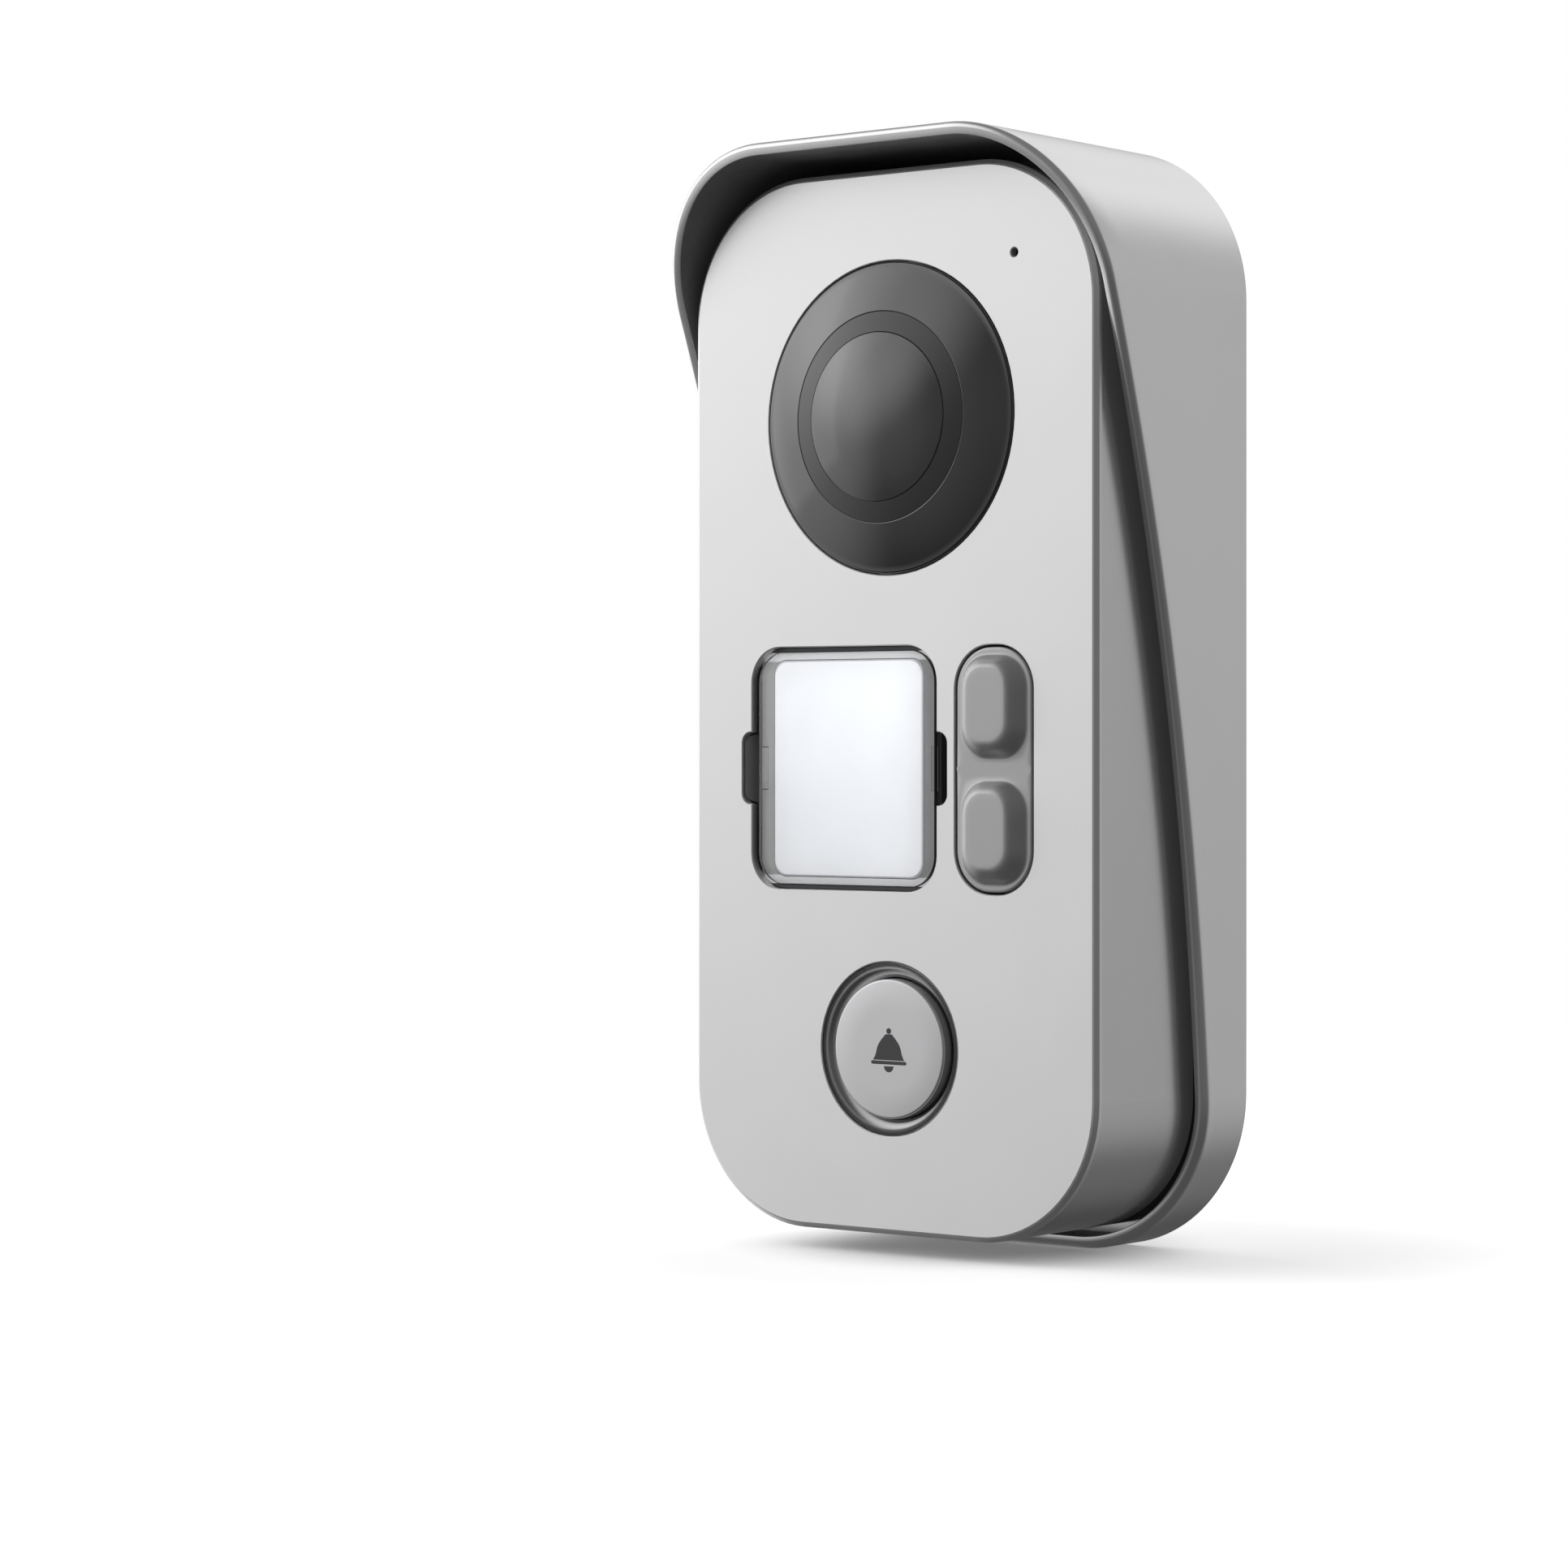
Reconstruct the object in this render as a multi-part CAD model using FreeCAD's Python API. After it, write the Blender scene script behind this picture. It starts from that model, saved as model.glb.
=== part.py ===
import FreeCAD, Part
import math
import os

from FreeCAD import Vector

# A wall-mounted video door station in its rain hood: a silver front plate on a tapered housing, with a camera
# behind a smoked dome, a lit name plate, two raised side keys, a round call button and a badge-reader coil.
# Row frame, millimetres: the wall face is y = 0, the front looks along -Y, +Z is up, and the origin is the
# centre of the four wall screws. Every depth below is counted from the front plate's face towards the wall.

DEPTH = 34.2  # from the front plate's face to the wall
OVER = 1.0  # how far a cutting shape reaches past what it cuts
ROOT = 0.5  # how far a boss or leg starts inside the wall it grows from
REST = 0.05  # gap between parts that rest against each other
FIT = 0.05  # radial clearance between a screw and its pilot hole
SLACK = 0.2  # clearance between a part and the opening it passes through

# Front plate
PLATE_W, PLATE_H, PLATE_R = 73.1, 151.3, 20.5
PLATE_T = 1.2
PLATE_BEVEL = 0.64
OPENING_BEVEL = 0.15

# Tapered body behind the plate
SIDE_DRAFT = 0.05
END_DRAFT = 0.013
WALL = 2.0
FRONT_WALL_END = 3.0
PARTING = 24.5  # where the front housing meets the rear cover
PARTING_GAP = 0.02
BODY_END = 30.5
SEAL_DEPTH = 0.8
SEAL_INSET = 1.0

# Rain hood
HOOD_W = 75.6  # at the wall; the sides flare out towards the front
HOOD_TOP, HOOD_BOTTOM = 79.95, -78.55
HOOD_R = 22.9
HOOD_DRAFT = 0.057
HOOD_WALL = 1.8
HOOD_EDGE_ROUND = 1.2
HOOD_EDGE_LOW, HOOD_EDGE_MID, HOOD_EDGE_HIGH = 24.1, 15.4, -10.6  # depth of the front edge along the height
HOOD_EDGE_SPAN = 82.0  # height above and below centre at which those depths hold
HOOD_BLANK_FRONT = -14.6
HOOD_TRIM = 60.0  # length of stock cut away in front of the edge
BACK_PLATE_FRONT, BACK_PLATE_REAR = 31.2, 32.8
CABLE_W, CABLE_H, CABLE_R = 46.0, 64.0, 4.0
WALL_HOLE_X, WALL_HOLE_Z, WALL_HOLE_R, WALL_PAD_R = 26.0, 55.0, 2.25, 5.5
HOOK_X, HOOK_Z, HOOK_W, HOOK_END = 14.0, 62.0, 5.0, 34.0
HOOK_NECK, HOOK_DROP = 2.4, 2.1
HOOK_SLOT_W, HOOK_SLOT_H = 6.0, 6.0

# Locking screw, driven upwards through the hood into the rear cover
LOCK_DEPTH = 27.8
LOCK_R, LOCK_HOLE_R = 1.5, 1.7
LOCK_HEAD_R, LOCK_HEAD_T = 2.9, 1.4
LOCK_SHAFT = 8.0
LOCK_SOCKET_R, LOCK_PIN_R, LOCK_SOCKET_DEPTH = 1.0, 0.3, 0.9
LOCK_PAD_R, LOCK_PAD_T = 4.5, 0.6
LOCK_BOSS_W, LOCK_BOSS_LOW, LOCK_BOSS_HIGH = 10.0, -74.45, -68.6
LOCK_BOSS_FRONT = 24.9
INSERT_R, INSERT_LOW, INSERT_LENGTH = 2.4, -75.0, 5.5

# Camera
CAMERA_Z = 40.3
DOME_R, DOME_SPHERE = 22.2, 64.0
DOME_EDGE = 0.4
DOME_RIM, DOME_FLANGE, DOME_REAR = 0.35, 1.3, 2.3  # depths of the rim, the flange's face and its back
FLANGE_R, FLANGE_INNER = 23.4, 20.8
RING_OUT, RING_IN, RING_STEP = 15.0, 12.0, 0.12
RING_FOOT_R, RING_FRONT, RING_REAR = 10.6, -0.5, 1.6
LENS_SPHERE = 40.0
COVER_BACK_R, COVER_BACK_RIM, COVER_BACK_APEX = 10.8, -0.52, -2.4
SEAT_R, SEAT_FLOOR, SEAT_HOLE = 23.7, 2.75, 20.9
WINDOW_SEAL_OUT, WINDOW_SEAL_IN = 23.2, 21.1
CAMERA_BOSS_R, CAMERA_BOSS_END = 25.2, 4.75
CAMERA_POST_AT, CAMERA_POST_R, CAMERA_POST_TURNS = 22.9, 2.0, (90, 210, 330)
CAMERA_SCREW_R, CAMERA_SCREW_HEAD_R, CAMERA_SCREW_HEAD_T, CAMERA_SCREW_TIP = 0.8, 1.6, 1.2, 7.0
IR_BOARD, IR_BOARD_R = (7.0, 8.0), 20.2
CAMERA_BOARD, CAMERA_BOARD_R = (11.6, 12.8), 24.5
IR_CIRCLE, IR_COUNT, IR_R = 15.9, 8, 2.4
IR_TIP, IR_SHOULDER, IR_FLANGE, IR_LIP = 2.4, 4.8, 6.1, 0.4
SENSOR_R = 2.5
SPACER_AT, SPACER_TURNS, SPACER_R, SPACER_BORE = 16.0, (30, 150, 270), 1.5, 0.7
BAFFLE_OUT, BAFFLE_IN = 11.3, 10.2
BARREL_R, BARREL_BORE, BARREL_HEAD_R, BARREL_SEAT_R = 6.0, 4.6, 8.4, 6.3
BARREL_LIP, BARREL_MOUTH, BARREL_HEAD_END, BARREL_NECK, BARREL_END, BARREL_SEAT = 0.6, 1.4, 3.4, 4.4, 9.4, 3.6
FRONT_LENS_R, FRONT_LENS_APEX, FRONT_LENS_RIM, FRONT_LENS_REAR = 6.2, 0.9, 2.3, 3.55
REAR_LENS_R, REAR_LENS_FRONT, REAR_LENS_RIM, REAR_LENS_APEX = 4.5, 7.9, 8.9, 9.5
HOLDER_W, HOLDER_BASE, HOLDER_TOP, HOLDER_BASE_END = 13.8, 9.0, 5.6, 9.5
HOLDER_WINDOW, HOLDER_WINDOW_DEPTH = 9.4, 9.8
IMAGE_SENSOR_W, IMAGE_SENSOR_T = 7.0, 1.0

# Microphone
MIC_X, MIC_Z, MIC_HOLE_R, MIC_DUCT_R = 22.35, 62.25, 0.6, 0.9
MIC_R, MIC_FRONT, MIC_REAR = 3.0, 3.85, 6.6
BOOT_R, BOOT_BORE, BOOT_DUCT_R, BOOT_POCKET, BOOT_END = 4.2, 3.02, 0.8, 3.8, 6.8

# Name plate
NAME_X, NAME_Z = -8.5, -9.5
NAME_W, NAME_H, NAME_R = 34.1, 34.9, 5.2
COVER_W, COVER_H, COVER_R, COVER_BEVEL, COVER_END = 32.6, 33.6, 4.5, 0.8, 1.3
LABEL_W, LABEL_H, LABEL_R, LABEL_FRONT, LABEL_REAR = 27.0, 30.7, 2.2, 1.05, 1.3
POCKET_W, POCKET_H, POCKET_R, POCKET_FRONT = 28.0, 31.6, 2.5, 1.0
NOTCH_W, NOTCH_H, NOTCH_R = 37.8, 10.4, 1.6
SCOOP_FOOT, SCOOP_TOP, SCOOP_FRONT = 17.25, 18.8, 0.5
TRAY_FACE, TRAY_FLANGE, TRAY_FLANGE_END = 1.35, 3.05, 4.3
TRAY_FLANGE_W, TRAY_FLANGE_H, TRAY_FLANGE_R = 38.6, 37.6, 4.0
LIGHT_BOX_W, LIGHT_BOX_H, LIGHT_BOX_T, LIGHT_BOX_END = 29.4, 32.4, 1.4, 12.6
GUIDE_W, GUIDE_H, GUIDE_R = 27.6, 31.2, 2.1
LEG_X, LEG_T, LEG_W, LEG_END = 15.2, 1.0, 6.0, 7.0
LEG_SLACK = 0.15
LED_OFFSET, LED_W, LED_H, LED_T = 7.0, 3.0, 1.6, 0.8
CALL_LED_X = 12.5

# Side keys
KEY_X, KEY_Z = 18.75, -9.6
PAD_W, PAD_H, PAD_R = 13.8, 34.9, 6.2
PAD_GAP, PAD_FRONT, PAD_REAR = 0.3, 0.1, 4.05
PAD_FLANGE_W, PAD_FLANGE_H, PAD_FLANGE_R = 14.6, 36.6, 5.0
KEY_PITCH = 17.6
KEY_W, KEY_H, KEY_R = 11.0, 14.0, 4.0
KEY_TOP_W, KEY_TOP_H, KEY_TOP_R, KEY_TOP_LIFT, KEY_TOP_ROUND = 6.6, 10.2, 2.6, 0.35, 0.9
KEY_RISE = 2.1
KEY_FLANGE, KEY_FLANGE_W, KEY_FLANGE_H = (4.2, 5.0), 12.6, 15.4

# Call button
CALL_Z = -49.3
CALL_RING_R, CALL_CAP_R, CALL_CAP_ROUND, CALL_SKIRT_R, CALL_SKIRT_END = 12.4, 9.95, 0.35, 9.0, 5.2
CALL_GUIDE_R, CALL_GUIDE_OUT = 10.2, 11.6
CALL_FLOOR = (7.0, 8.0)
RING_GAP, RING_LIP = 0.08, 0.15
DISH_FRONT, DISH_EDGE, DISH_VIA, DISH_FOOT, DISH_END = 0.12, 0.3, (11.75, 1.05), (10.6, 1.5), 1.8
CALL_FLANGE_R, CALL_FLANGE = 14.0, (3.05, 4.05)
STEM_R, STEM_HOLE_R, STEM_END = 2.0, 2.3, 9.0
CLIP_GROOVE_R, CLIP_GROOVE, CLIP_GROOVE_W, CLIP_R, CLIP_T, CLIP_MOUTH = 1.5, 8.05, 0.45, 3.3, 0.4, 2.2
CAP_UNDERSIDE = 1.6
SPRING_R, SPRING_WIRE_R, SPRING_TURNS, SPRING_ARCS = 4.2, 0.28, 5, 8
ANTENNA_OUT, ANTENNA_IN, ANTENNA_FRONT, ANTENNA_REAR = 18.2, 14.6, 3.2, 4.4

# Boards, switches and fasteners
BOARD_FRONT, BOARD_REAR = 13.0, 14.6
BOARD_HALF_W, BOARD_TOP, BOARD_BOTTOM, BOARD_R, BOARD_HOLE_R = 32.0, 15.4, -57.0, 6.0, 1.2
BOARD_SCREWS = [(x, z) for x in (-29.0, 29.0) for z in (12.3, -52.0)]
BOARD_SCREW_R, BOARD_SCREW_HEAD_R, BOARD_SCREW_HEAD_T, BOARD_SCREW_TIP = 1.0, 2.1, 1.5, 8.0
BOARD_BOSS_R, BOARD_PILOT = 2.6, 6.0
COVER_SCREWS = [(-29.0, 52.0), (29.0, 52.0), (-24.0, -62.0), (24.0, -62.0)]
COVER_SCREW_R, COVER_SCREW_HEAD_R, COVER_SCREW_HEAD_T, COVER_SCREW_TIP = 1.2, 2.5, 1.1, 18.0
COVER_BOSS_R, COVER_BOSS_END, COVER_PILOT = 3.0, 28.4, 16.0
COUNTERBORE_R, COUNTERBORE_DEPTH, COVER_HOLE_R = 2.8, 1.2, 1.4
RECESS_DEPTH, RECESS_REACH, RECESS_HALF_W = 0.55, 0.6, 0.3  # two shares of the head's height and radius
SWITCH_W, SWITCH_FRONT, SWITCH_BORE_END = 6.0, 10.1, 12.2
PLUNGER_R, PLUNGER_BORE_R, PLUNGER_END = 1.65, 1.75, 10.9
CHIPS, CHIP_T = [(-14, -36, 10), (2, -36, 7), (-16, 2, 6)], 1.1
CAPACITORS, CAPACITOR_R, CAPACITOR_T = [(23.5, -26), (23.5, -36)], 4.0, 10.5
RELAY_X, RELAY_Z, RELAY_T = (-27, -17), (-29, -14), 11.0
SOCKET_W, SOCKET_H, SOCKET_T = 12.0, 4.0, 1.8
CAMERA_SOCKET_Z, BOARD_SOCKET_Z = 24.6, 11.0
LEAD_SOCKET_W, LEAD_SOCKET_T = 5.0, 3.4
MIC_SOCKET, SPEAKER_SOCKET = (MIC_X, 8.0), (10.0, -53.1)
RIBBON_W, RIBBON_HALF_T, RIBBON_LEVEL, RIBBON_TOP_RUN, RIBBON_LOW_RUN = 10.0, 0.15, 0.9, 1.2, 3.6

# Terminals for the door cable
TERMINAL_Z, TERMINAL_W, TERMINAL_H, TERMINAL_END = -16.0, 20.4, 9.0, 28.3
TERMINAL_COUNT, TERMINAL_PITCH = 4, 5.08
TERMINAL_WINDOW_W, TERMINAL_WINDOW_H, TERMINAL_WINDOW_R = 22.0, 11.0, 1.5
MOUTH_HALF_W, MOUTH_DEPTH, MOUTH_LOW, MOUTH_HIGH = 1.4, 8.0, -3.7, -0.7
WELL_R, WELL_DEPTH, WELL_UP = 1.9, 6.0, 2.2
CLAMP_R, CLAMP_REAR, CLAMP_FRONT, CLAMP_SLOT, CLAMP_SLOT_HALF_W = 1.8, 2.5, 5.5, 3.4, 0.3

# Speaker, lying on the bottom wall and facing down
SPEAKER_W, SPEAKER_D0, SPEAKER_D1 = 30.0, 7.0, 21.0
SPEAKER_MIDDLE = (SPEAKER_D0 + SPEAKER_D1) / 2
SPEAKER_Z0, SPEAKER_Z1 = -72.9, -68.4
SPEAKER_CORNER_R, SPEAKER_RIM, SPEAKER_BACK, MESH_T = 3.0, 1.2, 1.0, 0.4
SLOT_COUNT, SLOT_W, SLOT_PITCH, SLOT_D0, SLOT_D1 = 9, 1.2, 2.8, 8.5, 19.5
CONE_INSET, CONE_LIFT, CONE_T, DUST_CAP_R, DUST_CAP_T = 1.3, 0.3, 0.3, 3.6, 1.0
MAGNET_R, MAGNET_T, MAGNET_HOLE_R = 4.5, 2.6, 4.6
LEAD_R, LEAD_BEND = 0.6, 0.45  # a bend takes this share of the shorter run beside it
MIC_LEAD_BENDS = [(MIC_X, 19.6, MIC_Z), (MIC_X + 0.5, 20.0, 46.0), (MIC_X - 0.3, 19.0, 30.0),
                  (MIC_X, 16.8, 18.0)]
LEAD_LEVEL = 16.8
SPEAKER_LEAD_X, SPEAKER_LEAD_BENDS = 10.0, [(17.0, -65.2), (16.3, -60.2)]


def at(x, depth, z):
    """Point in the row frame from a depth behind the front plate's face."""
    return Vector(x, depth - DEPTH, z)


def polar(radius, degrees, cz):
    """Position on a circle about the vertical centre line."""
    a = math.radians(degrees)
    return radius * math.cos(a), cz + radius * math.sin(a)


def outline(cx, cz, w, h, r, depth):
    """Closed rounded-rectangle wire, facing the wall."""
    arcs = []
    for sx, sz, start in ((1, 1, 0), (-1, 1, 90), (-1, -1, 180), (1, -1, 270)):
        mx, mz = cx + sx * (w / 2 - r), cz + sz * (h / 2 - r)
        turns = [math.radians(start + turn) for turn in (0, 45, 90)]
        arcs.append([at(mx + r * math.cos(a), depth, mz + r * math.sin(a)) for a in turns])
    edges = []
    for i, points in enumerate(arcs):
        edges.append(Part.Arc(*points).toShape())
        edges.append(Part.LineSegment(points[2], arcs[(i + 1) % 4][0]).toShape())
    return Part.Wire(edges)


def plate(cx, cz, w, h, r, d0, d1):
    """Rounded-rectangle plate between two depths."""
    return Part.Face(outline(cx, cz, w, h, r, d0)).extrude(Vector(0, d1 - d0, 0))


def loft(*wires):
    """Straight-sided solid through outlines."""
    return Part.makeLoft(list(wires), True, True)


def disc(cx, cz, r, d0, d1):
    return Part.makeCylinder(r, d1 - d0, at(cx, d0, cz), Vector(0, 1, 0))


def ring(cx, cz, outer, inner, d0, d1):
    return disc(cx, cz, outer, d0, d1).cut(disc(cx, cz, inner, d0 - OVER, d1 + OVER))


def block(x0, x1, d0, d1, z0, z1):
    return Part.makeBox(x1 - x0, d1 - d0, z1 - z0, at(x0, d0, z0))


def square(cx, cz, side, d0, d1):
    return block(cx - side / 2, cx + side / 2, d0, d1, cz - side / 2, cz + side / 2)


def turned(cx, cz, start, *steps):
    """Solid turned about the depth axis. Each step is a point (radius, depth), or (via, end) for an arc."""
    def point(p):
        return at(cx + p[0], p[1], cz)
    edges, here = [], start
    for step in steps + (start,):
        if isinstance(step[0], tuple):
            via, end = step
            edges.append(Part.Arc(point(here), point(via), point(end)).toShape())
        else:
            end = step
            edges.append(Part.LineSegment(point(here), point(end)).toShape())
        here = end
    face = Part.Face(Part.Wire(edges))
    return face.revolve(at(cx, 0, cz), Vector(0, 1, 0), 360)


def joined(first, *others):
    return first.multiFuse(list(others)).removeSplitter()


def carved(solid, *tools):
    return solid.cut(list(tools))


def group(solids):
    return Part.makeCompound(list(solids))


def front_edges(solid, depth, keep):
    """Edges lying at one depth whose bounding box passes a test."""
    y = depth - DEPTH
    found = []
    for edge in solid.Edges:
        box = edge.BoundBox
        if abs(box.YMin - y) < 1e-4 and abs(box.YMax - y) < 1e-4 and keep(box):
            found.append(edge)
    return found


def body_outline(inset, depth):
    """Outline of the tapered body at a depth, inset from its outer surface."""
    back = depth - PLATE_BEVEL
    w = PLATE_W - 2 * SIDE_DRAFT * back - 2 * inset
    h = PLATE_H - 2 * END_DRAFT * back - 2 * inset
    return outline(0, 0, w, h, PLATE_R - SIDE_DRAFT * back - inset, depth)


def body_section(inset, d0, d1):
    return loft(body_outline(inset, d0), body_outline(inset, d1))


def hood_outline(inset, depth):
    """Outline of the flared hood at a depth, inset from its outer surface."""
    w = HOOD_W + 2 * HOOD_DRAFT * (DEPTH - depth) - 2 * inset
    h = HOOD_TOP - HOOD_BOTTOM - 2 * inset
    return outline(0, (HOOD_TOP + HOOD_BOTTOM) / 2, w, h, HOOD_R - inset, depth)


def tube_path(points, radius):
    """Round lead along straight runs joined by tangent arcs."""
    edges, here = [], points[0]
    for before, corner, after in zip(points, points[1:], points[2:]):
        run_in, run_out = corner - before, after - corner
        turn = run_in.getAngle(run_out)
        reach = LEAD_BEND * min(run_in.Length, run_out.Length)
        bend = reach / math.tan(turn / 2)
        u, v = run_in.normalize(), run_out.normalize()
        start, end = corner - u * reach, corner + v * reach
        middle = (v - u).normalize()
        centre = corner + middle * (bend / math.cos(turn / 2))
        edges.append(Part.LineSegment(here, start).toShape())
        edges.append(Part.Arc(start, centre - middle * bend, end).toShape())
        here = end
    edges.append(Part.LineSegment(here, points[-1]).toShape())
    path = Part.Wire(edges)
    section = Part.Wire(Part.Circle(points[0], points[1] - points[0], radius).toShape())
    return path.makePipeShell([section], True, True)


def screw(x, z, seat, head_r, head_t, shaft_r, tip):
    """Cross-recessed screw driven from the wall side, its head behind the seat."""
    body = joined(disc(x, z, head_r, seat, seat + head_t), disc(x, z, shaft_r, tip, seat))
    recess = seat + head_t * (1 - RECESS_DEPTH)
    arm = head_r * RECESS_REACH
    cross = [block(x - a, x + a, recess, seat + head_t + OVER, z - b, z + b)
             for a, b in ((arm, RECESS_HALF_W), (RECESS_HALF_W, arm))]
    return carved(body, *cross)


# ---------------------------------------------------------------- hood

def rain_hood():
    outer = loft(hood_outline(0, HOOD_BLANK_FRONT), hood_outline(0, DEPTH))
    hollow = loft(hood_outline(HOOD_WALL, HOOD_BLANK_FRONT), hood_outline(HOOD_WALL, BACK_PLATE_FRONT))
    low = at(0, HOOD_EDGE_LOW, -HOOD_EDGE_SPAN)
    mid = at(0, HOOD_EDGE_MID, 0)
    high = at(0, HOOD_EDGE_HIGH, HOOD_EDGE_SPAN)
    rim = Part.Arc(low, mid, high).toShape()
    ahead = Vector(0, -HOOD_TRIM, 0)
    corners = [high, high + ahead, low + ahead, low]
    trim = [Part.LineSegment(p, q).toShape() for p, q in zip(corners, corners[1:])]
    cutter = Part.Face(Part.Wire([rim] + trim)).extrude(Vector(2 * HOOD_W, 0, 0))
    cutter.translate(Vector(-HOOD_W, 0, 0))
    shell = rounded_rim(carved(outer, hollow, cutter), rim)
    lock_pad = upright(LOCK_PAD_R, HOOD_BOTTOM + HOOD_WALL - REST, LOCK_PAD_T)
    shell = joined(carved(shell, *back_plate_tools()), lock_pad)
    return carved(shell, lock_cone(FIT), upright(LOCK_HOLE_R, HOOD_BOTTOM - OVER, 4 * HOOD_WALL))


def rounded_rim(shell, rim):
    """Rounds the outer corner of the hood's front edge, where the arc cut meets the outer wall."""
    core = loft(hood_outline(HOOD_WALL / 2, HOOD_BLANK_FRONT), hood_outline(HOOD_WALL / 2, DEPTH))
    chain = []
    for edge in shell.Edges:
        middle = edge.valueAt((edge.FirstParameter + edge.LastParameter) / 2)
        off_rim = rim.distToShape(Part.Vertex(0, middle.y, middle.z))[0]
        if off_rim < REST and not core.isInside(middle, REST, True):
            chain.append(edge)
    return shell.makeFillet(HOOD_EDGE_ROUND, chain)


def back_plate_tools():
    """Cuts in the hood's back: the pocket round the pads, the cable opening, the holes and the slots."""
    d0, d1 = BACK_PLATE_FRONT - OVER, DEPTH + OVER
    pocket = loft(hood_outline(HOOD_WALL, BACK_PLATE_REAR), hood_outline(HOOD_WALL, d1))
    pads = [disc(x, z, WALL_PAD_R, BACK_PLATE_REAR, d1) for x, z in wall_holes()]
    tools = [carved(pocket, *pads), plate(0, 0, CABLE_W, CABLE_H, CABLE_R, d0, d1)]
    tools += [disc(x, z, WALL_HOLE_R, d0, d1) for x, z in wall_holes()]
    for x in (-HOOK_X, HOOK_X):
        tools.append(block(x - HOOK_SLOT_W / 2, x + HOOK_SLOT_W / 2, d0, d1, HOOK_Z, HOOK_Z + HOOK_SLOT_H))
    return tools


def wall_holes():
    return [(x, z) for x in (-WALL_HOLE_X, WALL_HOLE_X) for z in (-WALL_HOLE_Z, WALL_HOLE_Z)]


def upright(radius, low, height):
    """Cylinder standing on the locking screw's axis."""
    return Part.makeCylinder(radius, height, at(0, LOCK_DEPTH, low))


def lock_cone(grow):
    """Countersink of the locking screw, flush with the hood's underside."""
    return Part.makeCone(LOCK_HEAD_R + grow, LOCK_R + grow, LOCK_HEAD_T, at(0, LOCK_DEPTH, HOOD_BOTTOM))


def lock_screw():
    body = joined(lock_cone(0), upright(LOCK_R, HOOD_BOTTOM + ROOT, LOCK_SHAFT))
    socket = upright(LOCK_SOCKET_R, HOOD_BOTTOM, LOCK_SOCKET_DEPTH)
    return carved(body, socket.cut(upright(LOCK_PIN_R, HOOD_BOTTOM, LOCK_SOCKET_DEPTH)))


def lock_insert():
    bore = upright(LOCK_R + FIT, INSERT_LOW - OVER, INSERT_LENGTH + 2 * OVER)
    return carved(upright(INSERT_R, INSERT_LOW, INSERT_LENGTH), bore)


# ---------------------------------------------------------------- casing

def face_openings(grow, d0, d1):
    """Window, finger-notch, key-pad and call-ring openings shared by the plate and the housing wall."""
    return [
        plate(NAME_X, NAME_Z, NAME_W + grow, NAME_H + grow, NAME_R, d0, d1),
        plate(NAME_X, NAME_Z, NOTCH_W + grow, NOTCH_H + grow, NOTCH_R, d0, d1),
        plate(KEY_X, KEY_Z, PAD_W + grow, PAD_H + grow, PAD_R, d0, d1),
        disc(0, CALL_Z, CALL_RING_R + grow / 2, d0, d1),
    ]


def facade_plate():
    bevel = PLATE_BEVEL
    front = loft(outline(0, 0, PLATE_W - 2 * bevel, PLATE_H - 2 * bevel, PLATE_R - bevel, 0),
                 outline(0, 0, PLATE_W, PLATE_H, PLATE_R, bevel))
    body = joined(front, plate(0, 0, PLATE_W, PLATE_H, PLATE_R, bevel, PLATE_T))
    d0, d1 = -OVER, PLATE_T + OVER
    body = carved(body, disc(0, CAMERA_Z, DOME_R + RING_STEP, d0, d1), disc(MIC_X, MIC_Z, MIC_HOLE_R, d0, d1),
                  *face_openings(0, d0, d1))
    reach = 2 * SEAT_R
    inner = front_edges(body, 0, lambda box: box.XLength < reach and box.ZLength < reach)
    return body.makeChamfer(OPENING_BEVEL, inner)


def front_housing():
    rear = PARTING + OVER
    shell = carved(body_section(0, PLATE_T, PARTING), body_section(WALL, FRONT_WALL_END, rear),
                   body_section(SEAL_INSET, PARTING - SEAL_DEPTH, rear))
    root = FRONT_WALL_END - ROOT
    bosses = [disc(0, CAMERA_Z, CAMERA_BOSS_R, root, CAMERA_BOSS_END)]
    bosses += [disc(x, z, BOARD_BOSS_R, root, BOARD_FRONT) for x, z in BOARD_SCREWS]
    bosses += [disc(x, z, COVER_BOSS_R, root, COVER_BOSS_END) for x, z in COVER_SCREWS]
    bosses += [disc(x, z, CAMERA_POST_R, CAMERA_BOSS_END - ROOT, CAMERA_BOARD[0]) for x, z in camera_posts()]
    front = PLATE_T - OVER
    tools = face_openings(SLACK, front, FRONT_WALL_END + ROOT)
    tools += [disc(0, CAMERA_Z, SEAT_R, front, SEAT_FLOOR),
              disc(0, CAMERA_Z, SEAT_HOLE, front, CAMERA_BOSS_END + OVER),
              disc(MIC_X, MIC_Z, MIC_DUCT_R, front, FRONT_WALL_END + OVER)]
    tools += pilots(COVER_SCREWS, COVER_SCREW_R, COVER_PILOT, COVER_BOSS_END)
    tools += pilots(BOARD_SCREWS, BOARD_SCREW_R, BOARD_PILOT, BOARD_FRONT)
    tools += pilots(camera_posts(), CAMERA_SCREW_R, BOARD_PILOT, CAMERA_BOARD[0])
    for i in range(SLOT_COUNT):
        x = (i - (SLOT_COUNT - 1) / 2) * SLOT_PITCH
        tools.append(block(x - SLOT_W / 2, x + SLOT_W / 2, SLOT_D0, SLOT_D1, -PLATE_H / 2 - OVER, SPEAKER_Z0))
    return carved(joined(shell, *bosses), *tools)


def pilots(places, screw_r, bottom, mouth):
    """Pilot holes for screws driven from the wall side."""
    return [disc(x, z, screw_r + FIT, bottom, mouth + OVER) for x, z in places]


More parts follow.
